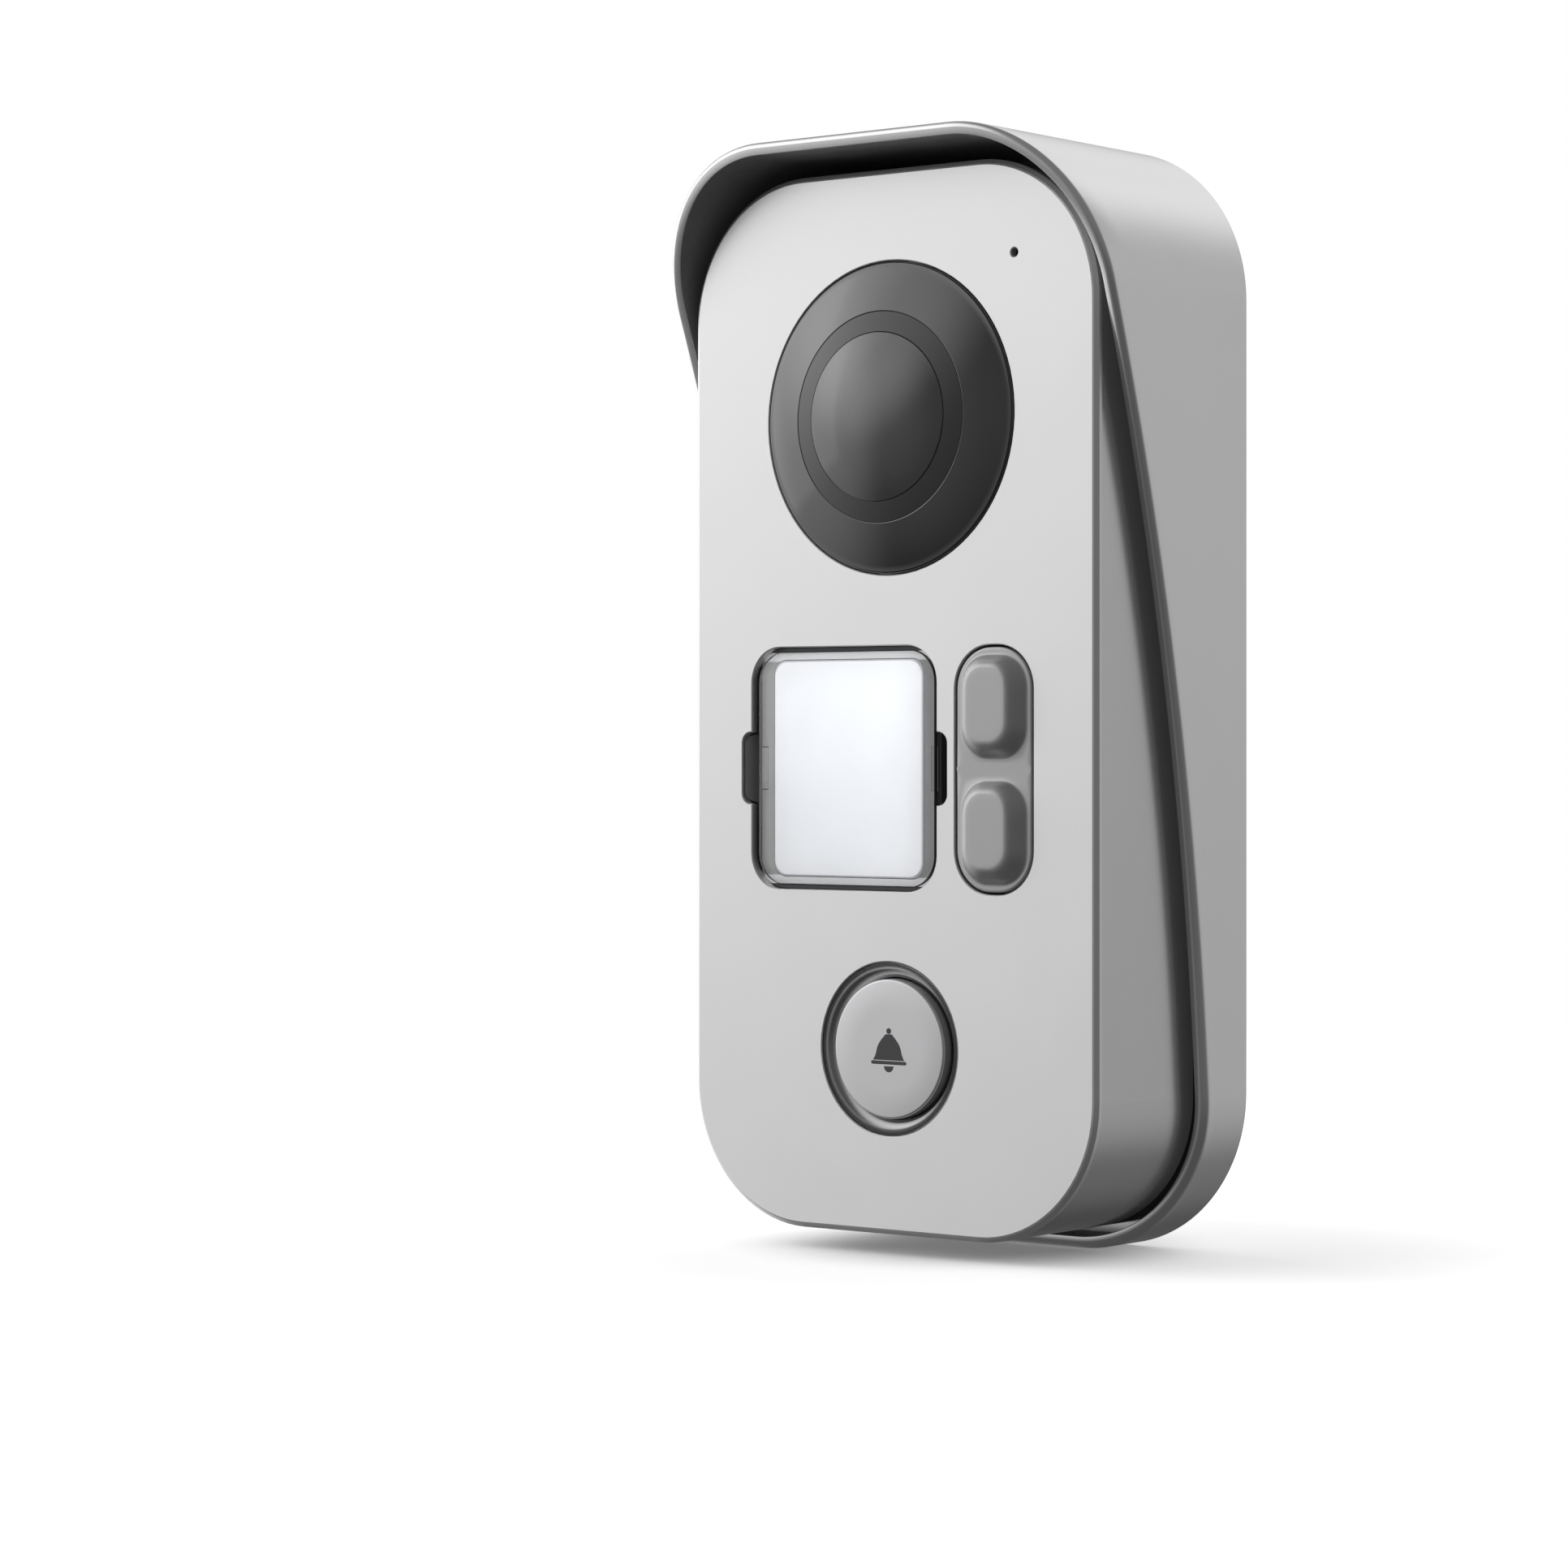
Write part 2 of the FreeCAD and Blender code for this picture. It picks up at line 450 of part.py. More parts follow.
def camera_posts():
    return [polar(CAMERA_POST_AT, turn, CAMERA_Z) for turn in CAMERA_POST_TURNS]


def rear_cover():
    inside, outside = BODY_END - WALL, BODY_END + OVER
    hollow = body_section(WALL, PARTING - OVER, inside)
    shell = carved(body_section(0, PARTING + PARTING_GAP, BODY_END), hollow)
    boss = block(-LOCK_BOSS_W / 2, LOCK_BOSS_W / 2, LOCK_BOSS_FRONT, BODY_END - ROOT, LOCK_BOSS_LOW,
                 LOCK_BOSS_HIGH)
    neck_top = HOOK_Z + HOOK_NECK
    hooks = []
    for x in (-HOOK_X, HOOK_X):
        x0, x1 = x - HOOK_W / 2, x + HOOK_W / 2
        hooks.append(block(x0, x1, BODY_END - ROOT, HOOK_END, HOOK_Z + REST, neck_top))
        hooks.append(block(x0, x1, BACK_PLATE_REAR + 2 * REST, HOOK_END, HOOK_Z - HOOK_DROP, neck_top))
    tools = [upright(INSERT_R + 0.2 * REST, INSERT_LOW, INSERT_LENGTH),
             upright(LOCK_HOLE_R, INSERT_LOW - 2 * OVER, INSERT_LENGTH + 3 * OVER),
             plate(0, TERMINAL_Z, TERMINAL_WINDOW_W, TERMINAL_WINDOW_H, TERMINAL_WINDOW_R, inside - OVER,
                   outside)]
    for x, z in COVER_SCREWS:
        tools.append(disc(x, z, COVER_HOLE_R, inside - OVER, outside))
        tools.append(disc(x, z, COUNTERBORE_R, BODY_END - COUNTERBORE_DEPTH, outside))
    return carved(joined(shell, boss, *hooks), *tools)


def housing_seal():
    """Soft loop in the rebate of the front housing's rear edge."""
    d0, d1 = PARTING - SEAL_DEPTH, PARTING
    outer = body_section(SEAL_INSET + PARTING_GAP, d0, d1)
    return carved(outer, loft(body_outline(WALL, d0 - OVER), body_outline(WALL, d1 + OVER)))


def cover_screws():
    seat = BODY_END - COUNTERBORE_DEPTH
    return group(screw(x, z, seat, COVER_SCREW_HEAD_R, COVER_SCREW_HEAD_T, COVER_SCREW_R, COVER_SCREW_TIP)
                 for x, z in COVER_SCREWS)


# ---------------------------------------------------------------- camera

def dome_depth(radius, sphere, rim_radius, rim_depth):
    """Depth of a spherical cap at a radius, given the depth of its rim."""
    return rim_depth + math.sqrt(sphere ** 2 - rim_radius ** 2) - math.sqrt(sphere ** 2 - radius ** 2)


def cap_depth(radius):
    return dome_depth(radius, DOME_SPHERE, DOME_R, 0)


def crown(radius, apex, rim):
    """Middle point of the spherical arc between a lens's centre and its rim."""
    rise = rim - apex
    sphere = (radius ** 2 + rise ** 2) / (2 * abs(rise))
    drop = sphere - math.sqrt(sphere ** 2 - (radius / 2) ** 2)
    return radius / 2, apex + math.copysign(drop, rise)


def ir_window():
    edge_r, mid_r = DOME_R - DOME_EDGE, (DOME_R + RING_OUT) / 2
    crest = ((mid_r, cap_depth(mid_r)), (edge_r, cap_depth(edge_r)))
    return turned(0, CAMERA_Z, (RING_OUT, cap_depth(RING_OUT)), crest, (DOME_R, DOME_RIM),
                  (DOME_R, DOME_FLANGE), (FLANGE_R, DOME_FLANGE), (FLANGE_R, DOME_REAR),
                  (FLANGE_INNER, DOME_REAR), (RING_OUT, -2 * REST))


def window_seal():
    return ring(0, CAMERA_Z, WINDOW_SEAL_OUT, WINDOW_SEAL_IN, DOME_REAR, SEAT_FLOOR)


def lens_ring():
    out, inside = RING_OUT - REST, RING_IN + REST
    front_out, front_in = cap_depth(out) + RING_STEP, cap_depth(inside) + RING_STEP
    return turned(0, CAMERA_Z, (inside, front_in), (out, front_out), (out, RING_REAR),
                  (RING_FOOT_R, RING_REAR), (RING_FOOT_R, RING_FRONT), (inside, RING_FRONT))


def lens_cover():
    rim = cap_depth(RING_IN)
    apex = dome_depth(0, LENS_SPHERE, RING_IN, rim)
    hollow = crown(COVER_BACK_R, COVER_BACK_APEX, COVER_BACK_RIM)
    return turned(0, CAMERA_Z, (0, apex), (crown(RING_IN, apex, rim), (RING_IN, rim)),
                  (RING_IN, COVER_BACK_RIM), (COVER_BACK_R, COVER_BACK_RIM), (hollow, (0, COVER_BACK_APEX)))


def light_baffle():
    return ring(0, CAMERA_Z, BAFFLE_OUT, BAFFLE_IN, RING_REAR, CAMERA_BOARD[0])


def ir_led_board():
    board = ring(0, CAMERA_Z, IR_BOARD_R, BAFFLE_OUT + SLACK, *IR_BOARD)
    d0, d1 = IR_BOARD[0] - OVER, IR_BOARD[1] + OVER
    return carved(board, *[disc(x, z, CAMERA_POST_R + OVER, d0, d1) for x, z in camera_posts()])


def ir_places():
    return [polar(IR_CIRCLE, 360 / IR_COUNT * (i + 0.5), CAMERA_Z) for i in range(IR_COUNT)]


def ir_leds():
    """Dome emitters on every place of the circle but the last, which holds the light sensor."""
    tip = (crown(IR_R, IR_TIP, IR_SHOULDER), (IR_R, IR_SHOULDER))
    lip = IR_R + IR_LIP
    return group(turned(x, z, (0, IR_TIP), tip, (IR_R, IR_FLANGE), (lip, IR_FLANGE), (lip, IR_BOARD[0]),
                        (0, IR_BOARD[0])) for x, z in ir_places()[:-1])


def light_sensor():
    x, z = ir_places()[-1]
    return disc(x, z, SENSOR_R, IR_SHOULDER, IR_BOARD[0])


def ir_board_spacers():
    places = [polar(SPACER_AT, turn, CAMERA_Z) for turn in SPACER_TURNS]
    return group(ring(x, z, SPACER_R, SPACER_BORE, IR_BOARD[1], CAMERA_BOARD[0]) for x, z in places)


def camera_board():
    board = disc(0, CAMERA_Z, CAMERA_BOARD_R, *CAMERA_BOARD)
    d0, d1 = CAMERA_BOARD[0] - OVER, CAMERA_BOARD[1] + OVER
    return carved(board, *[disc(x, z, CAMERA_SCREW_R + 3 * FIT, d0, d1) for x, z in camera_posts()])


def camera_board_screws():
    return group(screw(x, z, CAMERA_BOARD[1], CAMERA_SCREW_HEAD_R, CAMERA_SCREW_HEAD_T, CAMERA_SCREW_R,
                       CAMERA_SCREW_TIP) for x, z in camera_posts())


def lens_barrel():
    """Lens tube: a black flared head on a threaded body."""
    return turned(0, CAMERA_Z, (BARREL_SEAT_R, BARREL_MOUTH), (BARREL_HEAD_R, BARREL_LIP),
                  (BARREL_HEAD_R, BARREL_HEAD_END), (BARREL_R, BARREL_NECK), (BARREL_R, BARREL_END),
                  (BARREL_BORE, BARREL_END), (BARREL_BORE, BARREL_SEAT), (BARREL_SEAT_R, BARREL_SEAT))


def lens_front_element():
    r, rim = FRONT_LENS_R, FRONT_LENS_RIM
    return turned(0, CAMERA_Z, (0, FRONT_LENS_APEX), (crown(r, FRONT_LENS_APEX, rim), (r, rim)),
                  (r, FRONT_LENS_REAR), (0, FRONT_LENS_REAR))


def lens_rear_element():
    r = REAR_LENS_R
    return turned(0, CAMERA_Z, (0, REAR_LENS_FRONT), (r, REAR_LENS_FRONT), (r, REAR_LENS_RIM),
                  (crown(r, REAR_LENS_APEX, REAR_LENS_RIM), (0, REAR_LENS_APEX)))


def lens_holder():
    base = square(0, CAMERA_Z, HOLDER_W, HOLDER_BASE, CAMERA_BOARD[0])
    tower = disc(0, CAMERA_Z, BARREL_R + OVER, HOLDER_TOP, HOLDER_BASE_END)
    bore = disc(0, CAMERA_Z, BARREL_R + FIT, HOLDER_TOP - OVER, HOLDER_WINDOW_DEPTH + SLACK)
    window = square(0, CAMERA_Z, HOLDER_WINDOW, HOLDER_WINDOW_DEPTH, CAMERA_BOARD[0] + OVER)
    return carved(joined(base, tower), bore, window)


def image_sensor():
    return square(0, CAMERA_Z, IMAGE_SENSOR_W, CAMERA_BOARD[0] - IMAGE_SENSOR_T, CAMERA_BOARD[0])


def board_connectors():
    """Flat-cable sockets on both boards, and the lead sockets of the microphone and the speaker."""
    half_w, half_h = SOCKET_W / 2, SOCKET_H / 2
    made = [block(-half_w, half_w, seat, seat + SOCKET_T, z - half_h, z + half_h)
            for seat, z in ((CAMERA_BOARD[1], CAMERA_SOCKET_Z), (BOARD_REAR, BOARD_SOCKET_Z))]
    made += [square(x, z, LEAD_SOCKET_W, BOARD_REAR, BOARD_REAR + LEAD_SOCKET_T)
             for x, z in (MIC_SOCKET, SPEAKER_SOCKET)]
    return group(made)


def camera_ribbon():
    """Flat cable between the boards, stepping from one level to the other through two equal arcs."""
    d0, d1 = CAMERA_BOARD[1] + RIBBON_LEVEL, BOARD_REAR + RIBBON_LEVEL
    z0, z1 = CAMERA_SOCKET_Z - SOCKET_H / 2, BOARD_SOCKET_Z + SOCKET_H / 2
    bend_top, bend_low = z0 - RIBBON_TOP_RUN, z1 + RIBBON_LOW_RUN
    turn = 2 * math.atan2(d1 - d0, bend_top - bend_low)
    radius = (bend_top - bend_low) / (2 * math.sin(turn))
    x = -RIBBON_W / 2

    def side(offset):
        """Points of one face of the cable, from top to bottom."""
        def arc_point(centre_d, centre_z, r, a):
            return at(x, centre_d + r * math.cos(a), centre_z + r * math.sin(a))
        first, second = radius - offset, radius + offset
        upper = [arc_point(d0 + radius, bend_top, first, math.pi + turn * s) for s in (0, 0.5, 1)]
        lower = [arc_point(d1 - radius, bend_low, second, turn * s) for s in (1, 0.5, 0)]
        return [at(x, d0 + offset, z0)] + upper + lower + [at(x, d1 + offset, z1)]

    def edges(p):
        return [Part.LineSegment(p[0], p[1]).toShape(), Part.Arc(p[1], p[2], p[3]).toShape(),
                Part.Arc(p[4], p[5], p[6]).toShape(), Part.LineSegment(p[6], p[7]).toShape()]
    front, rear = side(-RIBBON_HALF_T), side(RIBBON_HALF_T)
    ends = [Part.LineSegment(front[0], rear[0]).toShape(), Part.LineSegment(front[-1], rear[-1]).toShape()]
    wire = Part.Wire(Part.__sortEdges__(edges(front) + edges(rear) + ends))
    return Part.Face(wire).extrude(Vector(RIBBON_W, 0, 0))


# ---------------------------------------------------------------- microphone

def mic_boot():
    sleeve = disc(MIC_X, MIC_Z, BOOT_R, FRONT_WALL_END, BOOT_END)
    return carved(sleeve, disc(MIC_X, MIC_Z, BOOT_BORE, BOOT_POCKET, BOOT_END + OVER),
                  disc(MIC_X, MIC_Z, BOOT_DUCT_R, FRONT_WALL_END - OVER, BOOT_POCKET + OVER))


def microphone():
    return disc(MIC_X, MIC_Z, MIC_R, MIC_FRONT, MIC_REAR)


def mic_lead():
    bends = [at(*bend) for bend in MIC_LEAD_BENDS]
    end = at(MIC_X, LEAD_LEVEL, MIC_SOCKET[1] + LEAD_SOCKET_W / 2)
    return tube_path([at(MIC_X, MIC_REAR, MIC_Z)] + bends + [end], LEAD_R)


# ---------------------------------------------------------------- name plate

def nameplate_tray():
    rear = TRAY_FLANGE_END
    frame = plate(NAME_X, NAME_Z, NAME_W - SLACK, NAME_H - SLACK, NAME_R - SLACK / 2, TRAY_FACE, rear)
    flange = plate(NAME_X, NAME_Z, TRAY_FLANGE_W, TRAY_FLANGE_H, TRAY_FLANGE_R, TRAY_FLANGE, rear)
    box = plate(NAME_X, NAME_Z, LIGHT_BOX_W, LIGHT_BOX_H, LABEL_R, TRAY_FLANGE_END - ROOT, LIGHT_BOX_END)
    tools = [plate(NAME_X, NAME_Z, GUIDE_W + SLACK, GUIDE_H + SLACK, GUIDE_R, TRAY_FACE - OVER, rear),
             plate(NAME_X, NAME_Z, LIGHT_BOX_W - 2 * LIGHT_BOX_T, LIGHT_BOX_H - 2 * LIGHT_BOX_T,
                   LABEL_R - LIGHT_BOX_T, TRAY_FLANGE_END - OVER, LIGHT_BOX_END + OVER)]
    tools += legs(LEG_SLACK, TRAY_FACE - OVER, TRAY_FLANGE_END + OVER)
    return carved(joined(frame, flange, box, *finger_scoops()), *tools)


def finger_scoops():
    """Ramps that fill the two finger notches and lead a fingertip down under the cover's edge."""
    d1 = TRAY_FLANGE + REST
    room = plate(NAME_X, NAME_Z, NOTCH_W - SLACK, NOTCH_H - SLACK, NOTCH_R - SLACK / 2, 0, d1)
    made = []
    for side in (-1, 1):
        foot, top = NAME_X + side * SCOOP_FOOT, NAME_X + side * SCOOP_TOP
        low = NAME_Z - NOTCH_H / 2
        corners = [at(foot, d1, low), at(top, d1, low), at(top, SCOOP_FRONT, low), at(foot, d1, low)]
        made.append(Part.Face(Part.makePolygon(corners)).extrude(Vector(0, 0, NOTCH_H)).common(room))
    return made


def legs(grow, d0, d1):
    """The cover's two spring legs, or with some growth the slots they pass through."""
    made = []
    for side in (-1, 1):
        x = NAME_X + side * (LEG_X + LEG_T / 2)
        half_t, half_w = LEG_T / 2 + grow, LEG_W / 2 + grow
        made.append(block(x - half_t, x + half_t, d0, d1, NAME_Z - half_w, NAME_Z + half_w))
    return made


def label_light_guide():
    return plate(NAME_X, NAME_Z, GUIDE_W, GUIDE_H, GUIDE_R - SLACK / 2, TRAY_FACE, TRAY_FLANGE_END)


def name_label():
    return plate(NAME_X, NAME_Z, LABEL_W, LABEL_H, LABEL_R, LABEL_FRONT, LABEL_REAR)


def nameplate_cover():
    w, h, r, bevel = COVER_W, COVER_H, COVER_R, COVER_BEVEL
    front = loft(outline(NAME_X, NAME_Z, w - 2 * bevel, h - 2 * bevel, r - bevel, 0),
                 outline(NAME_X, NAME_Z, w, h, r, bevel))
    rest = plate(NAME_X, NAME_Z, w, h, r, bevel, COVER_END)
    body = joined(front, rest, *legs(0, COVER_END - ROOT, LEG_END))
    return carved(body, plate(NAME_X, NAME_Z, POCKET_W, POCKET_H, POCKET_R, POCKET_FRONT, COVER_END))


def backlight_leds():
    """Two emitters in the light box, and two beside the call button."""
    places = [(NAME_X - LED_OFFSET, NAME_Z), (NAME_X + LED_OFFSET, NAME_Z), (-CALL_LED_X, CALL_Z),
              (CALL_LED_X, CALL_Z)]
    half_w, half_h = LED_W / 2, LED_H / 2
    return group(block(x - half_w, x + half_w, BOARD_FRONT - LED_T, BOARD_FRONT, z - half_h, z + half_h)
                 for x, z in places)


# ---------------------------------------------------------------- side keys

def key_places():
    return [KEY_Z + KEY_PITCH / 2, KEY_Z - KEY_PITCH / 2]


def keypad_frame():
    inset = 2 * PAD_GAP
    body = plate(KEY_X, KEY_Z, PAD_W - inset, PAD_H - inset, PAD_R - PAD_GAP, PAD_FRONT, PAD_REAR)
    flange = plate(KEY_X, KEY_Z, PAD_FLANGE_W, PAD_FLANGE_H, PAD_FLANGE_R, FRONT_WALL_END + REST, PAD_REAR)
    grow = 2 * SLACK
    wells = [plate(KEY_X, z, KEY_W + grow, KEY_H + grow, KEY_R + SLACK, -OVER, PAD_REAR + OVER)
             for z in key_places()]
    return carved(joined(body, flange), *wells)


def side_key(z):
    """Raised key with soft shoulders, a plug, a retaining flange and a stem to its switch."""
    shoulder = loft(outline(KEY_X, z + KEY_TOP_LIFT, KEY_TOP_W, KEY_TOP_H, KEY_TOP_R, -KEY_RISE),
                    outline(KEY_X, z, KEY_W, KEY_H, KEY_R, PAD_FRONT))
    shoulder = shoulder.makeFillet(KEY_TOP_ROUND, front_edges(shoulder, -KEY_RISE, lambda box: True))
    return joined(shoulder, plate(KEY_X, z, KEY_W, KEY_H, KEY_R, PAD_FRONT, KEY_FLANGE[1]),
                  plate(KEY_X, z, KEY_FLANGE_W, KEY_FLANGE_H, KEY_R, *KEY_FLANGE),
                  disc(KEY_X, z, STEM_R, KEY_FLANGE[1] - ROOT, STEM_END))


def switch_places():
    return [(KEY_X, z) for z in key_places()] + [(0, CALL_Z)]


def tact_switches():
    """Switch bodies on the main board, each with a bore for its plunger."""
    made = []
    for x, z in switch_places():
        body = square(x, z, SWITCH_W, SWITCH_FRONT, BOARD_FRONT)
        made.append(body.cut(disc(x, z, PLUNGER_BORE_R, SWITCH_FRONT - OVER, SWITCH_BORE_END)))
    return group(made)


def switch_plunger(x, z):
    return disc(x, z, PLUNGER_R, STEM_END, PLUNGER_END)


# ---------------------------------------------------------------- call button

def call_ring():
    """Dark dished trim ring that also guides the button."""
    out, flange = CALL_RING_R - RING_GAP, CALL_FLANGE
    return turned(0, CALL_Z, DISH_FOOT, (DISH_VIA, (out - RING_LIP, DISH_FRONT)), (out, DISH_EDGE),
                  (out, flange[0]), (CALL_FLANGE_R, flange[0]), (CALL_FLANGE_R, flange[1]),
                  (CALL_GUIDE_OUT, flange[1]), (CALL_GUIDE_OUT, CALL_FLOOR[1]), (STEM_HOLE_R, CALL_FLOOR[1]),
                  (STEM_HOLE_R, CALL_FLOOR[0]), (CALL_GUIDE_R, CALL_FLOOR[0]), (CALL_GUIDE_R, DISH_END))


def call_button():
    r, soft, groove = CALL_CAP_R, CALL_CAP_ROUND, CLIP_GROOVE
    corner = soft * (1 - math.sqrt(0.5))
    return turned(0, CALL_Z, (0, 0), (r - soft, 0), ((r - corner, corner), (r, soft)), (r, CALL_SKIRT_END),
                  (CALL_SKIRT_R, CALL_SKIRT_END), (CALL_SKIRT_R, CAP_UNDERSIDE), (STEM_R, CAP_UNDERSIDE),
                  (STEM_R, groove), (CLIP_GROOVE_R, groove), (CLIP_GROOVE_R, groove + CLIP_GROOVE_W),
                  (STEM_R, groove + CLIP_GROOVE_W), (STEM_R, STEM_END), (0, STEM_END))


def call_clip():
    """Open retaining clip that keeps the button in its guide."""
    front = CLIP_GROOVE + (CLIP_GROOVE_W - CLIP_T) / 2
    clip = ring(0, CALL_Z, CLIP_R, CLIP_GROOVE_R + FIT, front, front + CLIP_T)
    mouth = block(-CLIP_MOUTH / 2, CLIP_MOUTH / 2, front - OVER, front + OVER, CALL_Z - CLIP_R - OVER, CALL_Z)
    return carved(clip, mouth)


def call_spring():
    """Return spring between the cap and the floor of the guide, its wire swept along arcs of the helix."""
    lift = SPRING_WIRE_R + PARTING_GAP
    d0, d1 = CAP_UNDERSIDE + lift, CALL_FLOOR[0] - lift
    arcs = SPRING_TURNS * SPRING_ARCS

    def coil_point(share):
        x, z = polar(SPRING_R, 360 * SPRING_TURNS * share, CALL_Z)
        return at(x, d0 + (d1 - d0) * share, z)
    edges = []
    for i in range(arcs):
        edges.append(Part.Arc(*[coil_point((i + part) / arcs) for part in (0, 0.5, 1)]).toShape())
    heading = coil_point(0.001) - coil_point(-0.001)
    section = Part.Wire(Part.Circle(coil_point(0), heading, SPRING_WIRE_R).toShape())
    return Part.Wire(edges).makePipeShell([section], True, True)


def rfid_antenna():
    return ring(0, CALL_Z, ANTENNA_OUT, ANTENNA_IN, ANTENNA_FRONT, ANTENNA_REAR)


# ---------------------------------------------------------------- main board

def main_board():
    w, h, d0, d1 = 2 * BOARD_HALF_W, BOARD_TOP - BOARD_BOTTOM, BOARD_FRONT - OVER, BOARD_REAR + OVER
    board = plate(0, BOARD_BOTTOM + h / 2, w, h, BOARD_R, BOARD_FRONT, BOARD_REAR)
    return carved(board, *[disc(x, z, BOARD_HOLE_R, d0, d1) for x, z in BOARD_SCREWS])


def board_screws():
    return group(screw(x, z, BOARD_REAR, BOARD_SCREW_HEAD_R, BOARD_SCREW_HEAD_T, BOARD_SCREW_R,
                       BOARD_SCREW_TIP) for x, z in BOARD_SCREWS)


def board_chips():
    return group(square(x, z, side, BOARD_REAR, BOARD_REAR + CHIP_T) for x, z, side in CHIPS)


def capacitors():
    return group(disc(x, z, CAPACITOR_R, BOARD_REAR, BOARD_REAR + CAPACITOR_T) for x, z in CAPACITORS)


def relay():
    return block(*RELAY_X, BOARD_REAR, BOARD_REAR + RELAY_T, *RELAY_Z)


def terminal_places():
    return [(i - (TERMINAL_COUNT - 1) / 2) * TERMINAL_PITCH for i in range(TERMINAL_COUNT)]


def terminal_block():
    """Screw terminals, with wire mouths that face the wall and clamp screws beside them."""
    half_w, half_h, top = TERMINAL_W / 2, TERMINAL_H / 2, TERMINAL_END + OVER
    body = block(-half_w, half_w, BOARD_REAR, TERMINAL_END, TERMINAL_Z - half_h, TERMINAL_Z + half_h)
    tools = []
    for x in terminal_places():
        tools.append(block(x - MOUTH_HALF_W, x + MOUTH_HALF_W, TERMINAL_END - MOUTH_DEPTH, top,
                           TERMINAL_Z + MOUTH_LOW, TERMINAL_Z + MOUTH_HIGH))
        tools.append(disc(x, TERMINAL_Z + WELL_UP, WELL_R, TERMINAL_END - WELL_DEPTH, top))
    return carved(body, *tools)


def terminal_screws():
    z = TERMINAL_Z + WELL_UP
    made = []
    for x in terminal_places():
        body = disc(x, z, CLAMP_R, TERMINAL_END - CLAMP_FRONT, TERMINAL_END - CLAMP_REAR)
        slot = block(x - WELL_R, x + WELL_R, TERMINAL_END - CLAMP_SLOT, TERMINAL_END, z - CLAMP_SLOT_HALF_W,
                     z + CLAMP_SLOT_HALF_W)
        made.append(body.cut(slot))
    return group(made)


# ---------------------------------------------------------------- speaker

def speaker_box(inset, z0, z1):
    half_w = SPEAKER_W / 2 - inset
    body = block(-half_w, half_w, SPEAKER_D0 + inset, SPEAKER_D1 - inset, z0, z1)
    upright_edges = [edge for edge in body.Edges if edge.BoundBox.ZLength > (z1 - z0) / 2]
    return body.makeFillet(SPEAKER_CORNER_R - inset / 2, upright_edges)


def speaker_disc(radius, low, height):
    return Part.makeCylinder(radius, height, at(0, SPEAKER_MIDDLE, low))


def speaker_mesh():
    return speaker_box(0, SPEAKER_Z0 - MESH_T, SPEAKER_Z0)


def speaker_frame():
    back = SPEAKER_Z1 - SPEAKER_RIM
    hollow = speaker_box(SPEAKER_RIM, SPEAKER_Z0 - OVER, back - SPEAKER_BACK)
    hole = speaker_disc(MAGNET_HOLE_R, back - 2 * SPEAKER_BACK, 4 * SPEAKER_BACK)
    return carved(speaker_box(0, SPEAKER_Z0, back), hollow, hole)


def speaker_cone():
    low = SPEAKER_Z0 + CONE_LIFT
    cap = speaker_disc(DUST_CAP_R, low + SLACK, DUST_CAP_T)
    return joined(speaker_box(CONE_INSET, low, low + CONE_T), cap)


def speaker_magnet():
    return speaker_disc(MAGNET_R, SPEAKER_Z1 - MAGNET_T, MAGNET_T)


def speaker_lead():
    x, bends = SPEAKER_LEAD_X, SPEAKER_LEAD_BENDS
    start = at(x, bends[0][0], SPEAKER_Z1 - SPEAKER_RIM)
    end = at(x, bends[-1][0], SPEAKER_SOCKET[1] - LEAD_SOCKET_W / 2)
    return tube_path([start] + [at(x, depth, z) for depth, z in bends] + [end], LEAD_R)


# ---------------------------------------------------------------- all nodes

UPPER, LOWER = key_places()
MAKERS = [
    rain_hood, lock_screw, lock_insert, facade_plate, front_housing, rear_cover, housing_seal, cover_screws,
    ir_window, window_seal, lens_ring, lens_cover, light_baffle, ir_led_board, ir_leds, light_sensor,
    ir_board_spacers, camera_board, camera_board_screws, lens_barrel, lens_front_element, lens_rear_element,
    lens_holder, image_sensor, board_connectors, camera_ribbon, mic_boot, microphone, mic_lead,
    nameplate_tray, label_light_guide, name_label, nameplate_cover, backlight_leds, keypad_frame,
    tact_switches, call_ring, call_button, call_clip, call_spring, rfid_antenna, main_board, board_screws,
    board_chips, capacitors, relay, terminal_block, terminal_screws, speaker_mesh, speaker_frame,
    speaker_cone, speaker_magnet, speaker_lead,
]


def main():
    os.makedirs("parts", exist_ok=True)
    shapes = {make.__name__: make() for make in MAKERS}
    shapes["upper_key"], shapes["lower_key"] = side_key(UPPER), side_key(LOWER)
    for name, place in zip(("upper_plunger", "lower_plunger", "call_plunger"), switch_places()):
        shapes[name] = switch_plunger(*place)
    for name, shape in shapes.items():
        if not shape.isValid():
            print(f"{name} is not valid")
        print(f"{name}: {len(shape.Solids)} solids, {shape.Volume:.1f} mm3")
        shape.exportStep(f"parts/{name}.step")
    print(f"{len(shapes)} nodes")


main()
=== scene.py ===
import math

import bmesh
import bpy
from mathutils import Matrix, Vector


